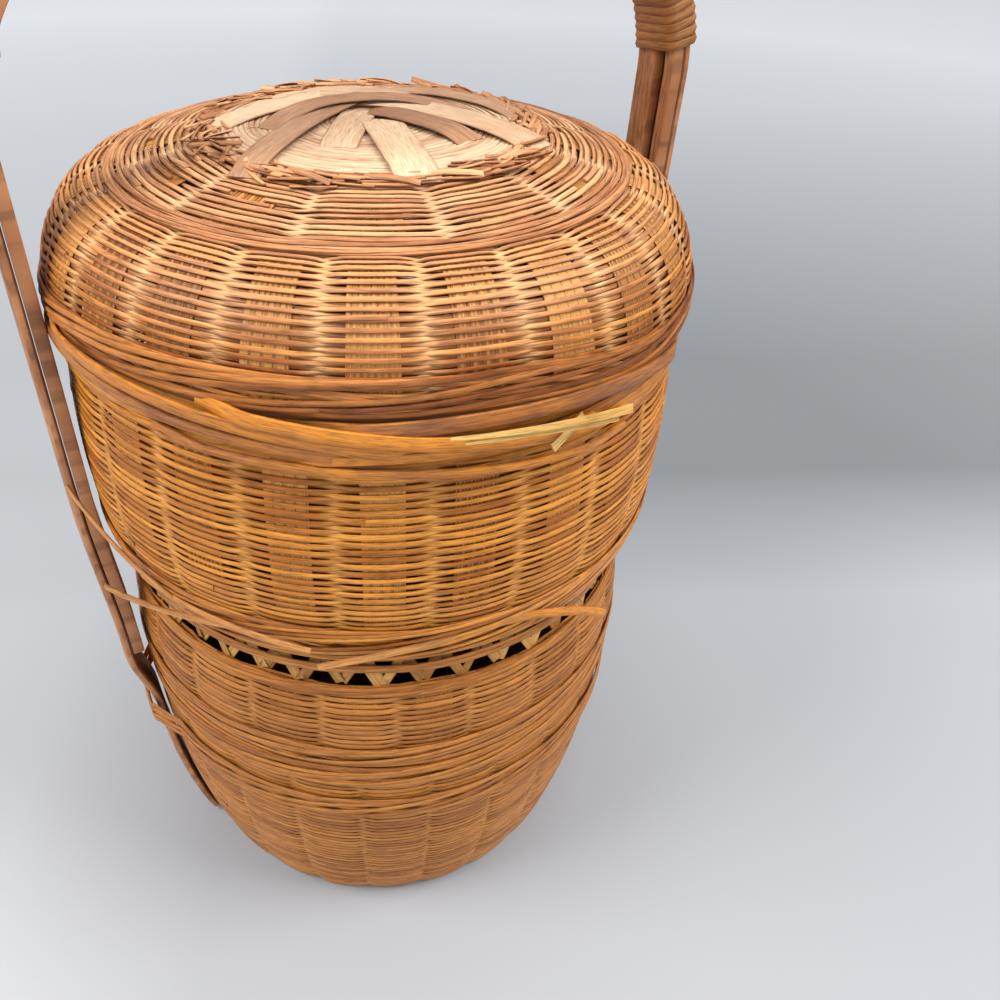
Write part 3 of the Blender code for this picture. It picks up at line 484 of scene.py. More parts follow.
def twisted_border(bundle, profile, edge, low, high, strands, turns, width, thick, depth, base, wander,
                   phase=0.0, section=OVAL, drop=None):
    """Strands laid round a rim that cross slowly from one edge of the band to the other.

    low and high are measured from the edge, and all sizes after it are in mm."""
    width, thick, depth, base, wander = (size * MM for size in (width, thick, depth, base, wander))
    low, high = edge + low * MM, edge + high * MM
    random = bundle.random
    share = np.linspace(0.0, 1.04, BORDER_STEPS)[None, :]
    azimuth = random.random((strands, 1)) * math.tau + math.tau * share
    angle = phase + np.arange(strands)[:, None] * math.tau / strands + turns * azimuth
    angle += 0.35 * wobble(random, strands, azimuth, (2, 3, 5))
    middle, reach = (low + high) / 2.0, (high - low) / 2.0 - width * 0.35
    walked = middle + reach * np.sin(angle) + wander * wobble(random, strands, azimuth, (3, 7, 11))
    out = base + depth * (0.5 + 0.5 * np.cos(angle))
    if drop is not None:
        walked += drop(azimuth)
    ends = eased(1.0 - share / 0.03) + eased((share - 1.01) / 0.03)
    out += thick * (0.3 * eased((share - 0.97) / 0.03) - 1.6 * ends)
    size = width * (1.0 + 0.12 * random.standard_normal((strands, 1)).clip(-1.5, 1.5))
    bundle.add(*profile.lines(walked, azimuth, out), size / 2.0, thick / 2.0, section=section)


def curved_strand(bundle, first, last, bow, width, thick, seed, tuck=0.0, upward=0.0, section=OVAL, lean=0.0):
    """One strand between two places, each (azimuth in degrees, radius in mm, height in mm).

    bow raises its middle and tuck draws its ends in. Both are in mm, and so are width and thick."""
    share = np.linspace(0.0, 1.0, CURVE_STEPS)
    first, last = np.array(first), np.array(last)
    place = first + (last - first) * share[:, None]
    azimuth = np.radians(place[:, 0])
    ends = 1.0 - eased(share / 0.15) * eased((1.0 - share) / 0.15)
    height = place[:, 2] + bow * 4.0 * share * (1.0 - share)
    path = round_place((place[:, 1] - tuck * ends) * MM, azimuth, height * MM)
    outward = round_place(1.0, azimuth, upward)
    bundle.add(path, outward, width * MM / 2.0, thick * MM / 2.0, 0.0, lean, section, seed)


def bump_near(azimuth, centre, reach, level=0.0):
    """1 at an azimuth and over a level share of the reach, fading to 0 at the end of the reach."""
    away = np.abs((azimuth - centre + math.pi) % math.tau - math.pi)
    return eased((1.0 - away / reach) / (1.0 - level))


def plaited_floor(bundle, radius, height, width=12.0 * MM, thick=0.6 * MM):
    """Flat strips crossed over and under one another in a round floor."""
    count = int(radius / width)
    for way in (0, 1):
        for index in range(-count, count):
            offset = (index + 0.5) * width
            half = math.sqrt(max(radius ** 2 - (abs(offset) + width / 2.0) ** 2, 0.0))
            if half < width:
                continue
            along = np.linspace(-half, half, 72)
            sign = 1.0 if (index + way) % 2 == 0 else -1.0
            wave = np.tanh(2.0 * np.cos(math.pi * (along / width - 0.5))) * sign
            level = height + thick * 0.62 * wave + 0.05 * MM * bundle.random.standard_normal()
            across = np.full_like(along, offset)
            points = (along, across, level) if way == 0 else (across, along, level)
            bundle.add(np.stack(points, axis=-1), UPWARD, width * 0.47, thick / 2.0, section=FLAT)


# Profiles of the CAD walls
def tier_profile(foot_height, height, foot_radius, belly_radius, rim_radius, belly_share):
    """The same curve as the CAD wall has."""
    share = np.linspace(0.0, 1.0, 160)
    swell = np.sin(np.pi / 2.0 * np.minimum(share / belly_share, 1.0)) ** 0.7
    fall = np.clip((share - belly_share) / (1.0 - belly_share), 0.0, 1.0)
    radii = np.where(share < belly_share, foot_radius + (belly_radius - foot_radius) * swell,
                     belly_radius - (belly_radius - rim_radius) * fall ** 2)
    return Profile(radii, foot_height + height * share, SHEET / 2.0)


BOTTOM = tier_profile(0.0, 0.1107, 0.0900, 0.1055, 0.1052, 0.90)
MIDDLE = tier_profile(0.1165, 0.0420, 0.1045, 0.1062, 0.1028, 0.37)
UPPER = tier_profile(0.1745, 0.0895, 0.1030, 0.1115, 0.1075, 0.44)

LID_LOW, LID_SHOULDER, LID_RISE = 0.2705, 0.2765, 0.0328
LID_RADIUS, STEP_RADIUS, CROWN_RADIUS = 0.1106, 0.0832, 0.0526
STEP_TOP, CROWN_EDGE, CROWN_TOP = 0.3102, 0.3176, 0.3187


def lid_outer_profile():
    """Skirt and shoulder of the lid, from its lower edge up to the step."""
    angle = np.linspace(0.0, np.pi / 2.0, 90)
    centre = STEP_RADIUS + 0.0006
    skirt = np.linspace(LID_LOW, LID_SHOULDER, 9)[:-1]
    radii = np.concatenate([np.full(8, LID_RADIUS), centre + (LID_RADIUS - centre) * np.cos(angle)])
    heights = np.concatenate([skirt, LID_SHOULDER + LID_RISE * np.sin(angle)])
    return Profile(radii, heights, SHEET / 2.0)


def lid_inner_profile():
    """From the step in to the crown."""
    share = np.linspace(0.0, 1.0, 40)
    radii = STEP_RADIUS + (CROWN_RADIUS - 0.004 - STEP_RADIUS) * share
    bulge = 0.0006 * np.sin(np.pi * share)
    heights = STEP_TOP + (CROWN_EDGE + 0.0006 - STEP_TOP) * share + bulge
    return Profile(radii, heights, SHEET / 2.0)


LID_OUTER = lid_outer_profile()
LID_INNER = lid_inner_profile()
# Azimuth of a stake in each wall
LID_FIRST, UPPER_FIRST = math.radians(0.2), math.radians(1.2)
MIDDLE_FIRST, BOTTOM_FIRST = math.radians(-4.2), math.radians(-12.0)

# Materials of the weave, each with its light, dark and worn colour
BRIGHT, GOLDEN = (240, 210, 160), (240, 190, 120)
LID_WEAVE = bamboo("lid_weave", (228, 150, 76), (158, 88, 36), (244, 206, 146), wear=0.75, roughness=0.4,
                   lit_faded_top=(236, 182, 138))
# Darker copy of the lid weave for the lid's rim border: partly its own colour, partly painted shade of the
# rim
LID_EDGE = bamboo("lid_edge_weave", (214, 138, 68), (136, 76, 34), (230, 180, 110), wear=0.4, roughness=0.42)
# Paler copy of the lid weave for its inner zone and the cut ends: partly wear, partly painted sheen
LID_PALE = bamboo("lid_weave_worn_and_sheen", (240, 182, 130), (176, 114, 72), (242, 206, 160), wear=0.6)
UPPER_WEAVE = bamboo("upper_weave", (238, 158, 62), (178, 102, 32), (242, 190, 104), roughness=0.4)
LOWER_WEAVE = bamboo("lower_weave", (208, 136, 60), (166, 100, 38), (220, 164, 92), wear=0.35)
LOOSE = bamboo("loose_strand", (232, 148, 54), (160, 102, 62), GOLDEN, streaks=0.7)
LOOSE_PALE = bamboo("loose_strand_pale", (236, 168, 94), (190, 122, 60), GOLDEN, streaks=0.7)
STAKE = bamboo("stake_fibre", (230, 168, 92), (146, 88, 40), (240, 206, 150), streaks=1.6, fine=1.6)
PALE = bamboo("pale_splint", (238, 202, 124), (210, 158, 84), BRIGHT, fine=1.2)
LATTICE = bamboo("collar_strip", (228, 174, 98), (184, 128, 64), BRIGHT, fine=1.2)
# Near black-brown bamboo for the tiers' plaited floors inside: painted shade of the inside
SHADED_INSIDE = bamboo("inside_bamboo_painted_shade", (74, 46, 26), (46, 28, 16), (96, 62, 36))
CROWN = bamboo("crown_splint", (238, 204, 168), (208, 164, 128), BRIGHT, streaks=0.9, fine=1.5,
               dirt_and_painted_shade=(0.36, 0.20, 0.12))
# Darker copy of the crown splint for some of the splints
CROWN_DARK = bamboo("crown_splint_worn", (212, 168, 132), (170, 124, 92), BRIGHT, streaks=0.9, fine=1.5,
                    dirt_and_painted_shade=(0.30, 0.18, 0.12))
HANDLE = bamboo("handle_bamboo", (214, 154, 106), (168, 112, 74), (190, 130, 80), streaks=0.7, roughness=0.35,
                fine=0.45, dirt_and_painted_shade=(0.22, 0.16, 0.16))
CANE = bamboo("cane", (190, 132, 80), (150, 98, 56), (220, 170, 120), roughness=0.42)
HOOP = hoop_material("hoop_bamboo", tone(172, 120, 60), tone(122, 78, 36))


def even_marks(low, high, pitch):
    count = max(int(round((high - low) / pitch)), 1)
    return low + (high - low) * (np.arange(count) + 0.5) / count


def make_walls():
    """Woven walls and plaited floors of the three tiers."""
    for name, body, profile, first, pitch, width, material, floor, parts, seed in (
        ("upper_tier", "upper_tier", UPPER, UPPER_FIRST, 1.40, 1.80, UPPER_WEAVE, (0.0985, 0.1855), 1, 31),
        ("middle_tier", "middle_tier", MIDDLE, MIDDLE_FIRST, 1.32, 2.15, LOWER_WEAVE, (0.101, 0.1252), 1, 41),
        ("bottom_tier", "base", BOTTOM, BOTTOM_FIRST, 1.32, 2.15, LOWER_WEAVE, (0.0885, 0.0013), 2, 51),
    ):
        marks = even_marks(0.5 * MM, profile.length, pitch * MM)
        for part in range(parts):
            rows = Bundle(seed + part)
            start, stop = len(marks) * part // parts, len(marks) * (part + 1) // parts
            weave_rows(rows, profile, marks[start:stop], first, width=width * MM, cross_share=1.4 / width,
                       lift=0.74 * MM, parity_start=start)
            ending = "_weave" if parts == 1 else "_weave_%d" % (part + 1)
            rows.build(name + ending, material, body, "weave", (name + "_wall",))
        strips = Bundle(seed + 3)
        stake_strips(strips, profile, 0.0, profile.length, first)
        strips.build(name + "_stakes", STAKE, body, "weave")
        plaits = Bundle(seed + 4)
        plaited_floor(plaits, *floor)
        plaits.build(name + "_floor", SHADED_INSIDE, body, "weave")


# Places where a weaver of the lid's inner zone ends, and the radius at which their openings are measured
LID_JOIN_COUNT, LID_JOIN_RADIUS = 15, 0.068


def lid_edge_rise(azimuth):
    """How far the lid's lower edge is bent up in front, over the thick border of the tier below."""
    return 6.0 * MM * bump_near(azimuth, math.radians(-15.0), math.radians(68.0), 0.45)


def make_lid():
    """Woven dome of the lid in its outer and inner zones."""
    rows = Bundle(11)
    marks, place, edge = [], 0.8 * MM, LID_OUTER.length
    while place < edge - 0.1 * MM:
        marks.append(place)
        place += 1.20 * MM + 0.30 * MM * math.exp(-(((place - 25.0 * MM) / (12.0 * MM)) ** 2))
    weave_rows(rows, LID_OUTER, marks, LID_FIRST, width=1.38 * MM, cross_share=1.0, lift=0.80 * MM,
               thick=0.9 * MM, raised=lid_edge_rise)
    twisted_border(rows, LID_OUTER, edge, -2.0, 0.3, 3, 3, 1.6, 0.9, 0.5, 1.0, 0.3)
    rows.build("lid_outer_weave", LID_WEAVE, "lid", "weave", ("lid_dome",))
    strips = Bundle(12)
    lows = lid_edge_rise(LID_FIRST + np.arange(STAKES) * math.tau / STAKES)
    stake_strips(strips, LID_OUTER, lows, edge, LID_FIRST, width=15.5 * MM, taper=0.80)
    stake_strips(strips, LID_INNER, 0.0, LID_INNER.length, LID_FIRST, count=12, width=19.0 * MM, taper=0.66)
    strips.build("lid_stakes", STAKE, "lid", "weave")
    inner = Bundle(13)
    places = np.random.default_rng(5)
    gaps = []
    for number in range(LID_JOIN_COUNT):
        azimuth = (number + places.random()) * math.tau / LID_JOIN_COUNT
        walked = places.uniform(8.0, 27.0) * MM
        gaps.append((azimuth, walked, places.uniform(7.0, 14.0) * MM / LID_JOIN_RADIUS))
    marks = even_marks(0.8 * MM, LID_INNER.length - 1.0 * MM, 1.22 * MM)
    weave_rows(inner, LID_INNER, marks, LID_FIRST, stakes=12, width=1.66 * MM, cross_share=0.84,
               lift=0.8 * MM, wander=0.6 * MM, gaps=gaps, loose_share=0.8)
    twisted_border(inner, LID_INNER, 0.0, -1.0, 2.6, 3, 2, 1.5, 0.8, 0.5, 0.7, 0.6)
    inner.build("lid_inner_weave", LID_PALE, "lid", "weave")


# Crown splints as (material, number of the CAD splint stood for, width, x and y of both ends, bow sideways,
# height over the crown), in mm and in the order in which they lie on one another
CROWN_SPLINTS = (
    (CROWN, 0, 12.0, (-3.0, 12.0), (-10.0, -28.0), 0.0, 1.2),
    (CROWN, 1, 14.0, (2.0, 2.0), (14.0, -54.0), 0.0, 1.6),
    (CROWN_DARK, 0, 11.0, (-2.0, 10.0), (31.0, -20.0), 2.0, 2.1),
    (CROWN, 0, 11.0, (-50.0, -6.0), (0.0, 42.0), 3.0, 1.3),
    (CROWN, 0, 11.0, (-24.0, 34.0), (16.0, 34.0), -3.0, 1.7),
    (CROWN_DARK, 2, 10.0, (-36.0, -48.0), (8.0, 44.0), 4.0, 2.0),
    (CROWN, 3, 13.0, (-8.0, 24.0), (52.0, -22.0), 5.0, 2.2),
    (CROWN_DARK, 0, 9.5, (6.0, 40.0), (50.0, 10.0), 7.0, 1.4),
    (CROWN_DARK, 4, 9.0, (-32.0, -10.0), (32.0, 10.0), 18.0, 3.3),
)
SPLINT_END_HEIGHT = 0.2


def crown_height(radius):
    """Height of the crown's surface, and of the lid round it, at a distance from the middle."""
    crown = CROWN_TOP - (CROWN_TOP - CROWN_EDGE) * (radius / CROWN_RADIUS) ** 2
    slope = (CROWN_EDGE - STEP_TOP) / (STEP_RADIUS - CROWN_RADIUS)
    return np.where(radius < CROWN_RADIUS, crown, CROWN_EDGE - (radius - CROWN_RADIUS) * slope)


def crown_strips():
    """Flat strips laid side by side round the crown, over a bed of splints."""
    under = Bundle(62)
    for number in range(6):
        turn = math.pi * number / 6.0 + 0.2
        along = np.linspace(-50.0, 50.0, 30) * MM
        level = crown_height(np.abs(along)) - 0.75 * MM - 0.02 * MM * number
        path = np.stack([along * math.cos(turn), along * math.sin(turn), level], axis=-1)
        under.add(path, UPWARD, 13.0 * MM, 0.2 * MM, section=FLAT)
    under.build("crown_underlay", CROWN, "lid", "pale_bamboo")
    rings = Bundle(61)
    random = rings.random
    radius = 9.0 * MM
    while radius < 52.0 * MM:
        walked = np.linspace(0.0, math.tau + 0.12, 220)
        azimuth = random.random() * math.tau + walked
        wide = 1.75 * MM + 0.15 * MM * np.sin(azimuth + 2.0)
        wide += 0.1 * MM * np.sin(5.0 * azimuth + radius * 700.0)
        place = radius + 0.35 * MM * np.sin(2.0 * azimuth + radius * 300.0) * radius / CROWN_RADIUS
        tail = eased((walked - math.tau) / 0.06)
        level = crown_height(place) + 0.3 * MM + 0.3 * MM * tail
        level += 0.15 * MM * np.sin(6.0 * azimuth + radius * 900.0)
        lean = 0.16 + 0.06 * random.standard_normal()
        rings.add(round_place(place, azimuth, level), UPWARD, wide / 2.0, 0.32 * MM, 0.0, lean)
        radius += 1.85 * MM
    rings.build("crown_strips", CROWN, "lid", "pale_bamboo")


def crown_splints():
    """Wide splints that cross one another over the strips."""
    share = np.linspace(0.0, 1.0, 48)[:, None]
    arch = 4.0 * share * (1.0 - share)
    for number, (material, stood_for, width, first, last, bow, high) in enumerate(CROWN_SPLINTS):
        splint = Bundle(63 + number)
        first, run = np.array(first), np.array(last) - np.array(first)
        sideways = np.array([-run[1], run[0]]) / np.linalg.norm(run)
        flat = first + run * share + sideways * bow * arch
        droop = (high - SPLINT_END_HEIGHT) * (2.0 * share - 1.0) ** 4
        line = np.hstack([flat, high - droop]) * MM
        line[:, 2] += crown_height(np.hypot(line[:, 0], line[:, 1])) + 0.25 * MM
        splint.add(line, UPWARD, width / 2.0 * MM, 0.28 * MM, 0.0, 0.02 * (-1.0) ** number, WIDE)
        stands_for = ("crown_splint_%d" % stood_for,) if stood_for else ()
        splint.build("crown_cross_%d" % (number + 1), material, "lid", "pale_bamboo", stands_for)


# Azimuths in degrees of the longer splinters round the crown
CROWN_SPIKES = (-150.0, -120.0, -80.0, -20.0, 5.0, 25.0, 55.0, 95.0, 140.0, 175.0)


def crown_cut_ends():
    """Ring of cut weaver ends round the crown, untidy at the sides and the back."""
    ends = Bundle(74)
    random = ends.random
    count = 170
    azimuth = (np.arange(count) + random.random(count)) * math.tau / count
    messy = 1.0 - 0.8 * bump_near(azimuth, 0.0, math.radians(80.0))
    middle = (54.0 + 2.2 * random.standard_normal(count)) * MM
    length = random.uniform(8.0, 19.0, count) * MM
    turned = messy * 0.42 * random.standard_normal(count) + 0.06
    raised = messy * random.random(count) ** 3 * 2.2 * MM
    for index in range(count):
        along = np.linspace(-0.5, 0.5, 8) * length[index]
        radius = middle[index] + along * math.sin(turned[index])
        place = azimuth[index] + along * math.cos(turned[index]) / middle[index]
        lift = 0.6 * MM + 0.5 * MM * random.random() + raised[index] * (along / length[index] + 0.5) ** 1.5
        width = random.uniform(1.3, 2.1) * MM
        ends.add(round_place(radius, place, crown_height(radius) + lift), UPWARD, width / 2.0, 0.32 * MM, 0.0,
                 0.4 * messy[index] * random.standard_normal())
    for degrees in CROWN_SPIKES:
        curved_strand(ends, (degrees - 8.0, 52.0, 318.0), (degrees + 9.0, 58.0, 318.0), 1.0, 1.8, 0.7, None,
                      upward=3.0, lean=0.4)
    ends.build("crown_cut_ends", LID_PALE, "lid", "weave", ("lid_crown_ring",))


def rim_rise(azimuth):
    """How far the strands of the upper rim are pushed up in front, under the lid's raised edge."""
    return 3.5 * MM * bump_near(azimuth, math.radians(-24.0), math.radians(58.0), 0.3)


# Borders as (zone, CAD node's last word, seed, material, body, profile, edge measured from, drop, sweeps).
# A sweep is (low, high, strands, turns, width, thickness, depth, base, wander, phase, section), in mm
BORDERS = (
    ("lid_rim", "border", 21, LID_EDGE, "lid", LID_OUTER, 0.0, lid_edge_rise,
     ((-0.4, 9.5, 9, 2, 1.8, 1.1, 1.0, 1.2, 0.8),)),
    ("upper_rim", "border", 22, UPPER_WEAVE, "upper_tier", UPPER, UPPER.length, rim_rise,
     ((-9.0, 4.2, 8, 2, 2.1, 1.1, 1.3, 1.1, 1.0), (-6.0, 4.0, 3, 2, 3.8, 1.1, 0.8, 2.0, 1.0, 0.6, SPLIT))),
    ("upper_foot", "border", 23, UPPER_WEAVE, "upper_tier", UPPER, 0.0, None,
     ((0.3, 21.0, 16, 2, 1.9, 1.0, 1.1, 1.3, 1.1),)),
    ("middle_foot", "border", 24, LOWER_WEAVE, "middle_tier", MIDDLE, 0.0, None,
     ((-1.0, 11.0, 10, 2, 1.9, 1.0, 0.9, 1.2, 0.8), (-1.0, 1.6, 2, 2, 1.9, 1.0, 0.4, 1.0, 0.3))),
    ("middle_rim", "edging", 25, LOWER_WEAVE, "middle_tier", MIDDLE, MIDDLE.length, None,
     ((-3.8, 0.3, 5, 4, 1.7, 0.9, 0.6, 1.1, 0.3),)),
    ("bottom_rim", "border", 26, LOWER_WEAVE, "base", BOTTOM, BOTTOM.length, None,
     ((-6.0, 4.4, 9, 2, 2.0, 1.0, 0.9, 1.3, 0.7), (1.8, 4.4, 2, 2, 1.9, 1.0, 0.4, 0.7, 0.3))),
)


def make_borders():
    """Twisted borders round the rims and feet."""
    for zone, word, seed, material, body, profile, edge, drop, sweeps in BORDERS:
        border = Bundle(seed)
        for sweep in sweeps:
            twisted_border(border, profile, edge, *sweep, drop=drop)
        border.build(zone + "_strands", material, body, "border", (zone + "_" + word,))


def band_strands(bundle, name, strands, turns, width, thick, depth, wander, lower=0.0):
    """Strands twisted round inside the space of a CAD ring, which they follow in and out; sizes in mm."""
    width, thick, depth, wander, lower = (size * MM for size in (width, thick, depth, wander, lower))
    low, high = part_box(name)
    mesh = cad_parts[name].data
    places = np.empty(len(mesh.vertices) * 3)
    mesh.vertices.foreach_get("co", places)
    x, y, _ = places.reshape(-1, 3).T
    found, radius = np.round(np.arctan2(x, -y), 3), np.hypot(x, y)
    keys = np.unique(found)
    reach = [radius[found == key].max() for key in keys]
    random = bundle.random
    share = np.linspace(0.0, 1.03, BAND_STEPS)[None, :]
    azimuth = random.random((strands, 1)) * math.tau + math.tau * share
    outer = np.interp((azimuth + math.pi) % math.tau - math.pi, keys, reach, period=math.tau)
    angle = np.arange(strands)[:, None] * math.tau / strands + turns * azimuth
    middle, half = (low[2] + high[2]) / 2.0, (high[2] - low[2]) / 2.0 - width * 0.4
    height = middle - lower + half * np.sin(angle) + wander * wobble(random, strands, azimuth, (3, 7, 11))
    radius = outer - thick / 2.0 - depth * (0.5 - 0.5 * np.cos(angle)) + 0.3 * MM
    path = round_place(radius + 0.4 * MM * eased((share - 1.0) / 0.02), azimuth, height)
    bundle.add(path, round_place(1.0, azimuth, 0.0), width / 2.0, thick / 2.0)


COLLAR_FOLDS, COLLAR_LOW, COLLAR_TOP = 22, 0.1588, 0.1795
COLLAR_FOOT_RADIUS, COLLAR_NECK_RADIUS = 0.1024, 0.0987


def make_collar():
    """Two flat strips folded up and down round the collar, one behind the other."""
    share = np.linspace(0.0, 1.0, 12)
    height = COLLAR_LOW + (COLLAR_TOP - COLLAR_LOW) * share
    sheet = COLLAR_FOOT_RADIUS + (COLLAR_NECK_RADIUS - COLLAR_FOOT_RADIUS) * share
    for name, layer, phase, seed in (("outer", 0.0, 0.0, 76), ("inner", 1.0, 0.5, 77)):
        strips = Bundle(seed)
        random = strips.random
        for fold in range(COLLAR_FOLDS):
            centre = (fold + phase) * math.tau / COLLAR_FOLDS + math.radians(0.6)
            for side in (-1.0, 1.0):
                run = (0.3 + (11.4 + 0.5 * random.standard_normal()) * share) * MM
                azimuth = centre + side * run / COLLAR_FOOT_RADIUS
                radius = sheet - 0.5 * MM - (layer * 1.1 * MM + (0.35 * MM if side > 0.0 else 0.0))
                half_width = (2.2 + 0.2 * random.standard_normal()) * MM
                strips.add(round_place(radius, azimuth, height), round_place(1.0, azimuth, 0.0), half_width,
                           0.3 * MM, 0.0, 0.16 * random.standard_normal(), WIDE)
        strips.build("collar_%s_folds" % name, LATTICE, "middle_tier", "pale_bamboo",
                     ("collar_%s_zigzag" % name,))


def make_bands():
    """Waist band of the bottom tier and the band over the collar's crossings."""
    for name, seed, body, node, sizes in (
        ("waist_strands", 71, "base", "bottom_waist_band", (7, 3, 2.2, 0.9, 0.7, 0.5)),
        ("collar_strands", 72, "middle_tier", "collar_band", (3, 4, 1.9, 0.8, 0.4, 0.4, 0.9)),
    ):
        band = Bundle(seed)
        band_strands(band, node, *sizes)
        band.build(name, LOWER_WEAVE, body, "border", (node,))


RIM_LEVEL, FOOT_LEVEL = 264.0, 174.0
# Wide strands over the upper rim as (width, seed, azimuths of both ends in degrees, heights of both ends over
# the rim, bow, radius), in mm
RIM_STRANDS = (
    (3.2, 0.30, -75.0, 5.0, 8.0, -2.0, 1.0, 112.5),
    (3.6, 0.62, -65.0, 10.0, 12.0, -1.0, 3.0, 113.5),
    (4.4, 1.00, -25.0, 35.0, 12.0, -2.0, 0.0, 114.0),
    (4.6, 0.10, -10.0, 65.0, 7.0, 1.0, 5.0, 113.0),
    (2.8, 0.90, -15.0, 45.0, -3.0, -6.0, 4.0, 112.5),
    (2.6, 0.55, -35.0, 45.0, -3.0, -13.0, 2.0, 112.5),
)
# Ends sprung out of the upper foot as (width, seed, both ends as azimuth in degrees, radius and height over
# the foot, bow), in mm
FOOT_ENDS = (
    (2.8, 0.75, (-50.0, 109.0, 10.0), (-11.0, 113.0, 13.0), 3.0),
    (2.8, 0.70, (25.0, 107.0, 13.0), (-10.0, 113.0, 6.0), 3.0),
    (3.8, 1.00, (15.0, 108.0, 13.0), (48.0, 113.0, -9.0), 9.0),
    (2.6, 0.60, (-25.0, 109.0, 12.0), (-54.0, 120.0, 5.0), 2.0),
    (3.0, 0.65, (-57.0, 122.0, 47.0), (-37.0, 109.0, 10.0), -2.0),
)


def make_loose_ends():
    """Wide strands wound loosely over the upper rim, and ends that have sprung out of the weave."""
    rim = Bundle(81)
    for width, seed, left, right, start, end, bow, radius in RIM_STRANDS:
        first, last = (left, radius, RIM_LEVEL + start), (right, radius, RIM_LEVEL + end)
        curved_strand(rim, first, last, bow, width, 1.4, seed, tuck=3.0, section=SPLIT, lean=-0.12)
    rim.build("upper_rim_loose_strands", LOOSE, "upper_tier", "border")
    orange, pale = Bundle(82), Bundle(84)
    raised = np.array([0.0, 0.0, FOOT_LEVEL])
    for width, seed, first, last, bow in FOOT_ENDS:
        curved_strand(orange if seed == 1.0 else pale, first + raised, last + raised, bow, width, 1.3, seed)
    orange.build("upper_foot_loose_end", LOOSE, "upper_tier", "border")
    pale.build("upper_foot_pale_ends", LOOSE_PALE, "upper_tier", "border")
    splint = Bundle(83)
    taper = np.linspace(1.0, 2.7, CURVE_STEPS)
    for row in (
        ((10.0, 116.0, 271.0), (37.0, 121.0, 269.0), 1.0, taper, 0.8, 0.4),
        ((12.0, 116.0, 269.0), (35.0, 120.0, 267.0), 1.0, taper * 0.8, 0.7, 0.6),
        ((32.0, 112.0, 266.0), (25.0, 117.0, 262.0), 0.0, 2.4, 0.8, 0.5),
    ):
        curved_strand(splint, *row, upward=0.35, section=FLAT)
    splint.build("upper_rim_pale_splint", PALE, "upper_tier", "pale_bamboo")


# Handle
ARCH_SPRING, ARCH_RISE = 0.3250, 0.0785
LEG_INNER, LEG_LOW, LEG_FOOT, LEG_UPRIGHT = 0.1130, 0.1093, 0.1250, 0.2050
STRAP_HALF, OUTER_THICK, INNER_THICK, STRIP_GAP = 0.0105, 0.0034, 0.0043, 0.0003
NEAR_WIDTH, FAR_WIDTH = 0.0051, 0.0103
STRAP_END, STRAP_LEAVES = 0.0040, 0.0860


def leg_inside(height):
    """Distance from the middle to the inside of a leg's inner strips."""
    return LEG_LOW + (LEG_INNER - LEG_LOW) * eased((height - LEG_FOOT) / (LEG_UPRIGHT - LEG_FOOT))


def strap_inside(height):
    """Distance from the middle to the inside of the outer strap below the inner strips."""
    above = leg_inside(height) + INNER_THICK + STRIP_GAP
    wall = BOTTOM.at(np.interp(np.minimum(height, STRAP_LEAVES), BOTTOM.heights, BOTTOM.walk))[0]
    wall = wall + SHEET / 2.0 + 2.0 * STRIP_GAP + 0.5 * MM
    share = eased((height - STRAP_LEAVES) / (LEG_FOOT - STRAP_LEAVES))
    return np.where(height >= LEG_FOOT, above, wall + (above - wall) * share)


def handle_line(outer):
    """Points and outward directions along the middle of a handle strip, in the handle's own plane."""
    low, reach, offset, thick = LEG_FOOT, leg_inside, 0.0, INNER_THICK
    if outer:
        low, reach, offset, thick = STRAP_END, strap_inside, INNER_THICK + STRIP_GAP, OUTER_THICK
    heights = np.linspace(low, ARCH_SPRING, 60)[:-1]
    angle = np.linspace(0.0, math.pi / 2.0, 40)
    leg = np.stack([reach(heights), heights], axis=-1)
    arch = np.stack([LEG_INNER * np.cos(angle), ARCH_SPRING + ARCH_RISE * np.sin(angle)], axis=-1)
    turned = np.stack([ARCH_RISE * np.cos(angle), LEG_INNER * np.sin(angle)], axis=-1)
    arch = arch + offset * turned / np.linalg.norm(turned, axis=1)[:, None]
    half = np.concatenate([leg, arch])
    line = np.concatenate([half, half[-2::-1] * (-1.0, 1.0)])
    along = np.gradient(line, axis=0)
    along /= np.linalg.norm(along, axis=1)[:, None]
    outward = np.stack([along[:, 1], -along[:, 0]], axis=-1)
    return line + outward * thick / 2.0, outward, thick


def in_handle_plane(flat, sideways=0.0):
    """Turn (distance, height) points of the handle's plane into places in the frame."""
    cos, sin = math.cos(HANDLE_ANGLE), math.sin(HANDLE_ANGLE)
    x, z = flat[:, 0], flat[:, 1]
    return np.stack([x * cos - sideways * sin, x * sin + sideways * cos, z], axis=-1)


def make_handle():
    """Rounded straps of the handle and the flat cane wound round its shoulders."""
    for name, outer, near, far, section in (
        ("handle_outer_strap", True, -STRAP_HALF, STRAP_HALF, STRAP),
        ("handle_near_strip", False, -STRAP_HALF, -STRAP_HALF + NEAR_WIDTH, STRIP),
        ("handle_far_strip", False, STRAP_HALF - FAR_WIDTH, STRAP_HALF, STRIP),
    ):
        line, outward, thick = handle_line(outer)
        path = in_handle_plane(line, (near + far) / 2.0)
        strap = Bundle(91)
        strap.add(path, in_handle_plane(outward), (far - near) / 2.0, thick / 2.0, section=section)
        strap.build(name + "_bamboo", HANDLE, "base", "handle_bamboo", (name,))
    for name, side, seed in (("right_shoulder_winding", 1.0, 92), ("left_shoulder_winding", -1.0, 93)):
        cane = Bundle(seed)
        cane.add(*winding_line(side), 1.55 * MM, 1.0 * MM)
        cane.build(name + "_cane", CANE, "base", "cane", (name,))


WINDING_TURNS, WINDING_PITCH, WINDING_START = 6, 3.2 * MM, 0.3335
WINDING_SLANT, WINDING_HEIGHT = 1.2 * MM, 1.05 * MM


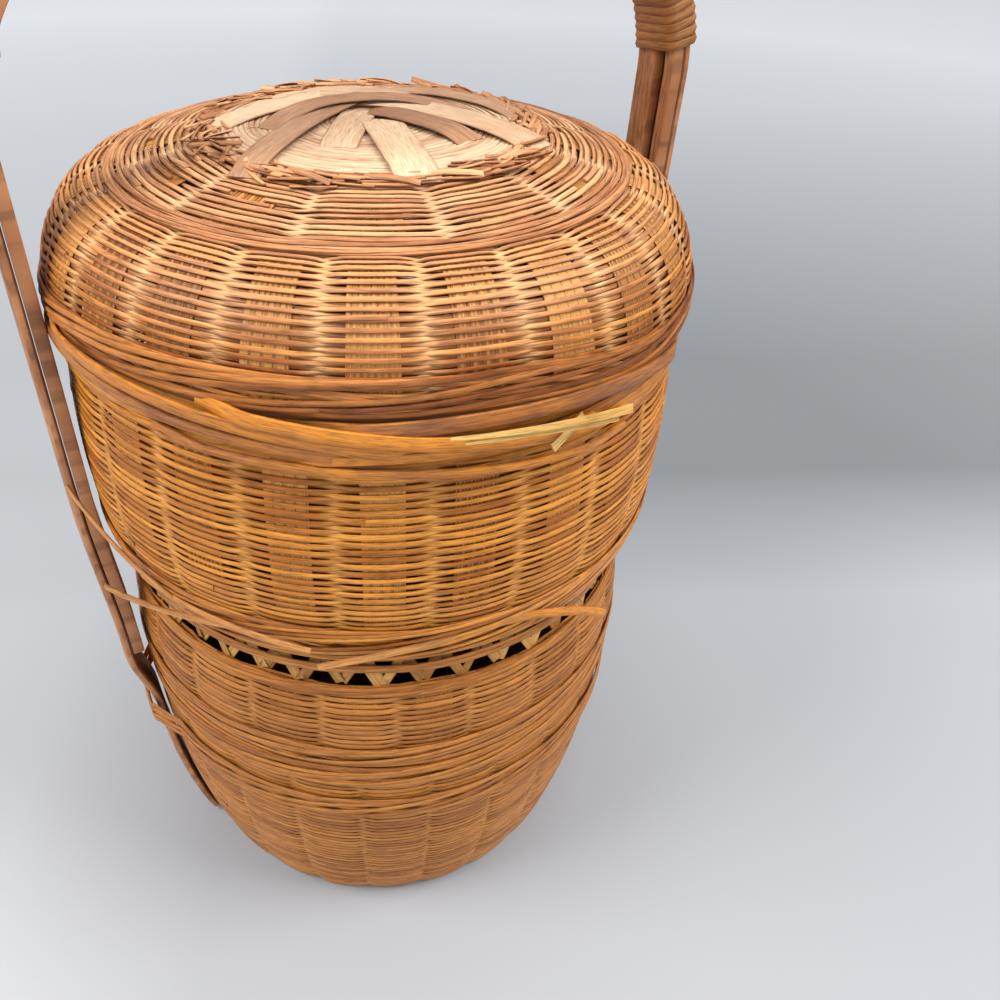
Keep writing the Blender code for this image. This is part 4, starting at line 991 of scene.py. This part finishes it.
def winding_line(side):
    """Path of a cane wound round the handle's section, and its outward directions."""
    steps = 44
    total = WINDING_TURNS * steps + 1
    thickness = INNER_THICK + STRIP_GAP + OUTER_THICK
    place = np.linspace(0.0, WINDING_TURNS, total) * math.tau
    square = np.stack([np.cos(place), np.sin(place)], axis=-1)
    square = np.sign(square) * np.abs(square) ** 0.35
    reach = np.array([thickness / 2.0 + WINDING_HEIGHT, STRAP_HALF + WINDING_HEIGHT])
    around = square * reach
    across, rise = LEG_INNER + thickness / 2.0, ARCH_RISE + thickness / 2.0
    angles = [math.asin((WINDING_START - ARCH_SPRING) / ARCH_RISE)]
    while len(angles) < total:
        pace = math.hypot(across * math.sin(angles[-1]), rise * math.cos(angles[-1]))
        angles.append(angles[-1] + WINDING_PITCH / steps / pace)
    cos, sin = np.cos(angles), np.sin(angles)
    normal = np.stack([rise * cos, across * sin], axis=-1)
    normal /= np.linalg.norm(normal, axis=1)[:, None]
    tangent = np.stack([-normal[:, 1], normal[:, 0]], axis=-1)
    flat = np.stack([across * cos, ARCH_SPRING + rise * sin], axis=-1) + normal * around[:, :1]
    flat -= tangent * WINDING_SLANT * square[:, 1:]
    lean = square / reach
    lean /= np.linalg.norm(lean, axis=1)[:, None]
    path = in_handle_plane(flat * (side, 1.0), around[:, 1] * side)
    return path, in_handle_plane(normal * lean[:, :1] * (side, 1.0), lean[:, 1] * side)


def dress_nodes():
    """Material of the CAD hoops, which are the nodes that stay."""
    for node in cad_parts.values():
        for index in range(len(node.data.materials)):
            node.data.materials[index] = HOOP


def make_stage():
    """Floor, lamps and world."""
    mesh = bpy.data.meshes.new("floor")
    reach = 12.0
    corners = [(-reach, -reach, 0.0), (reach, -reach, 0.0), (reach, reach, 0.0), (-reach, reach, 0.0)]
    mesh.from_pydata(corners, [], [(0, 1, 2, 3)])
    mesh.materials.append(floor_material())
    floor = placed("floor", mesh)
    floor.location.z = -0.0002
    world = bpy.data.worlds.new("studio")
    bpy.context.scene.world = world
    world.use_nodes = True
    nodes, links = world.node_tree.nodes, world.node_tree.links
    nodes["Background"].inputs["Color"].default_value = SKY
    strength = nodes.new("ShaderNodeMapRange")
    strength.inputs["To Min"].default_value = SKY_LIGHT
    strength.inputs["To Max"].default_value = SKY_SEEN
    links.new(nodes.new("ShaderNodeLightPath").outputs["Is Camera Ray"], strength.inputs["Value"])
    links.new(strength.outputs[0], nodes["Background"].inputs["Strength"])
    for name, place, size, power in (
        ("left", (-0.95, -0.35, 1.35), 0.8, 17.0),
        ("right", (0.95, -0.30, 1.35), 0.8, 17.0),
        ("above", (0.1, 0.0, 1.6), 0.8, 6.0),
        ("front", (0.0, -1.5, 0.9), 1.0, 7.0),
    ):
        data = bpy.data.lights.new(name, "AREA")
        data.shape = "DISK"
        data.size = size
        data.energy = power
        data.color = WARM
        lamp = placed(name, data)
        lamp.location = place
        aim = Vector((0.0, 0.0, 0.18)) - Vector(place)
        lamp.rotation_euler = aim.to_track_quat("-Z", "Y").to_euler()
    bpy.context.scene.view_settings.view_transform = "Standard"


make_camera()
dress_nodes()
make_walls()
make_lid()
crown_strips()
crown_splints()
crown_cut_ends()
make_borders()
make_collar()
make_bands()
make_loose_ends()
make_handle()
make_stage()
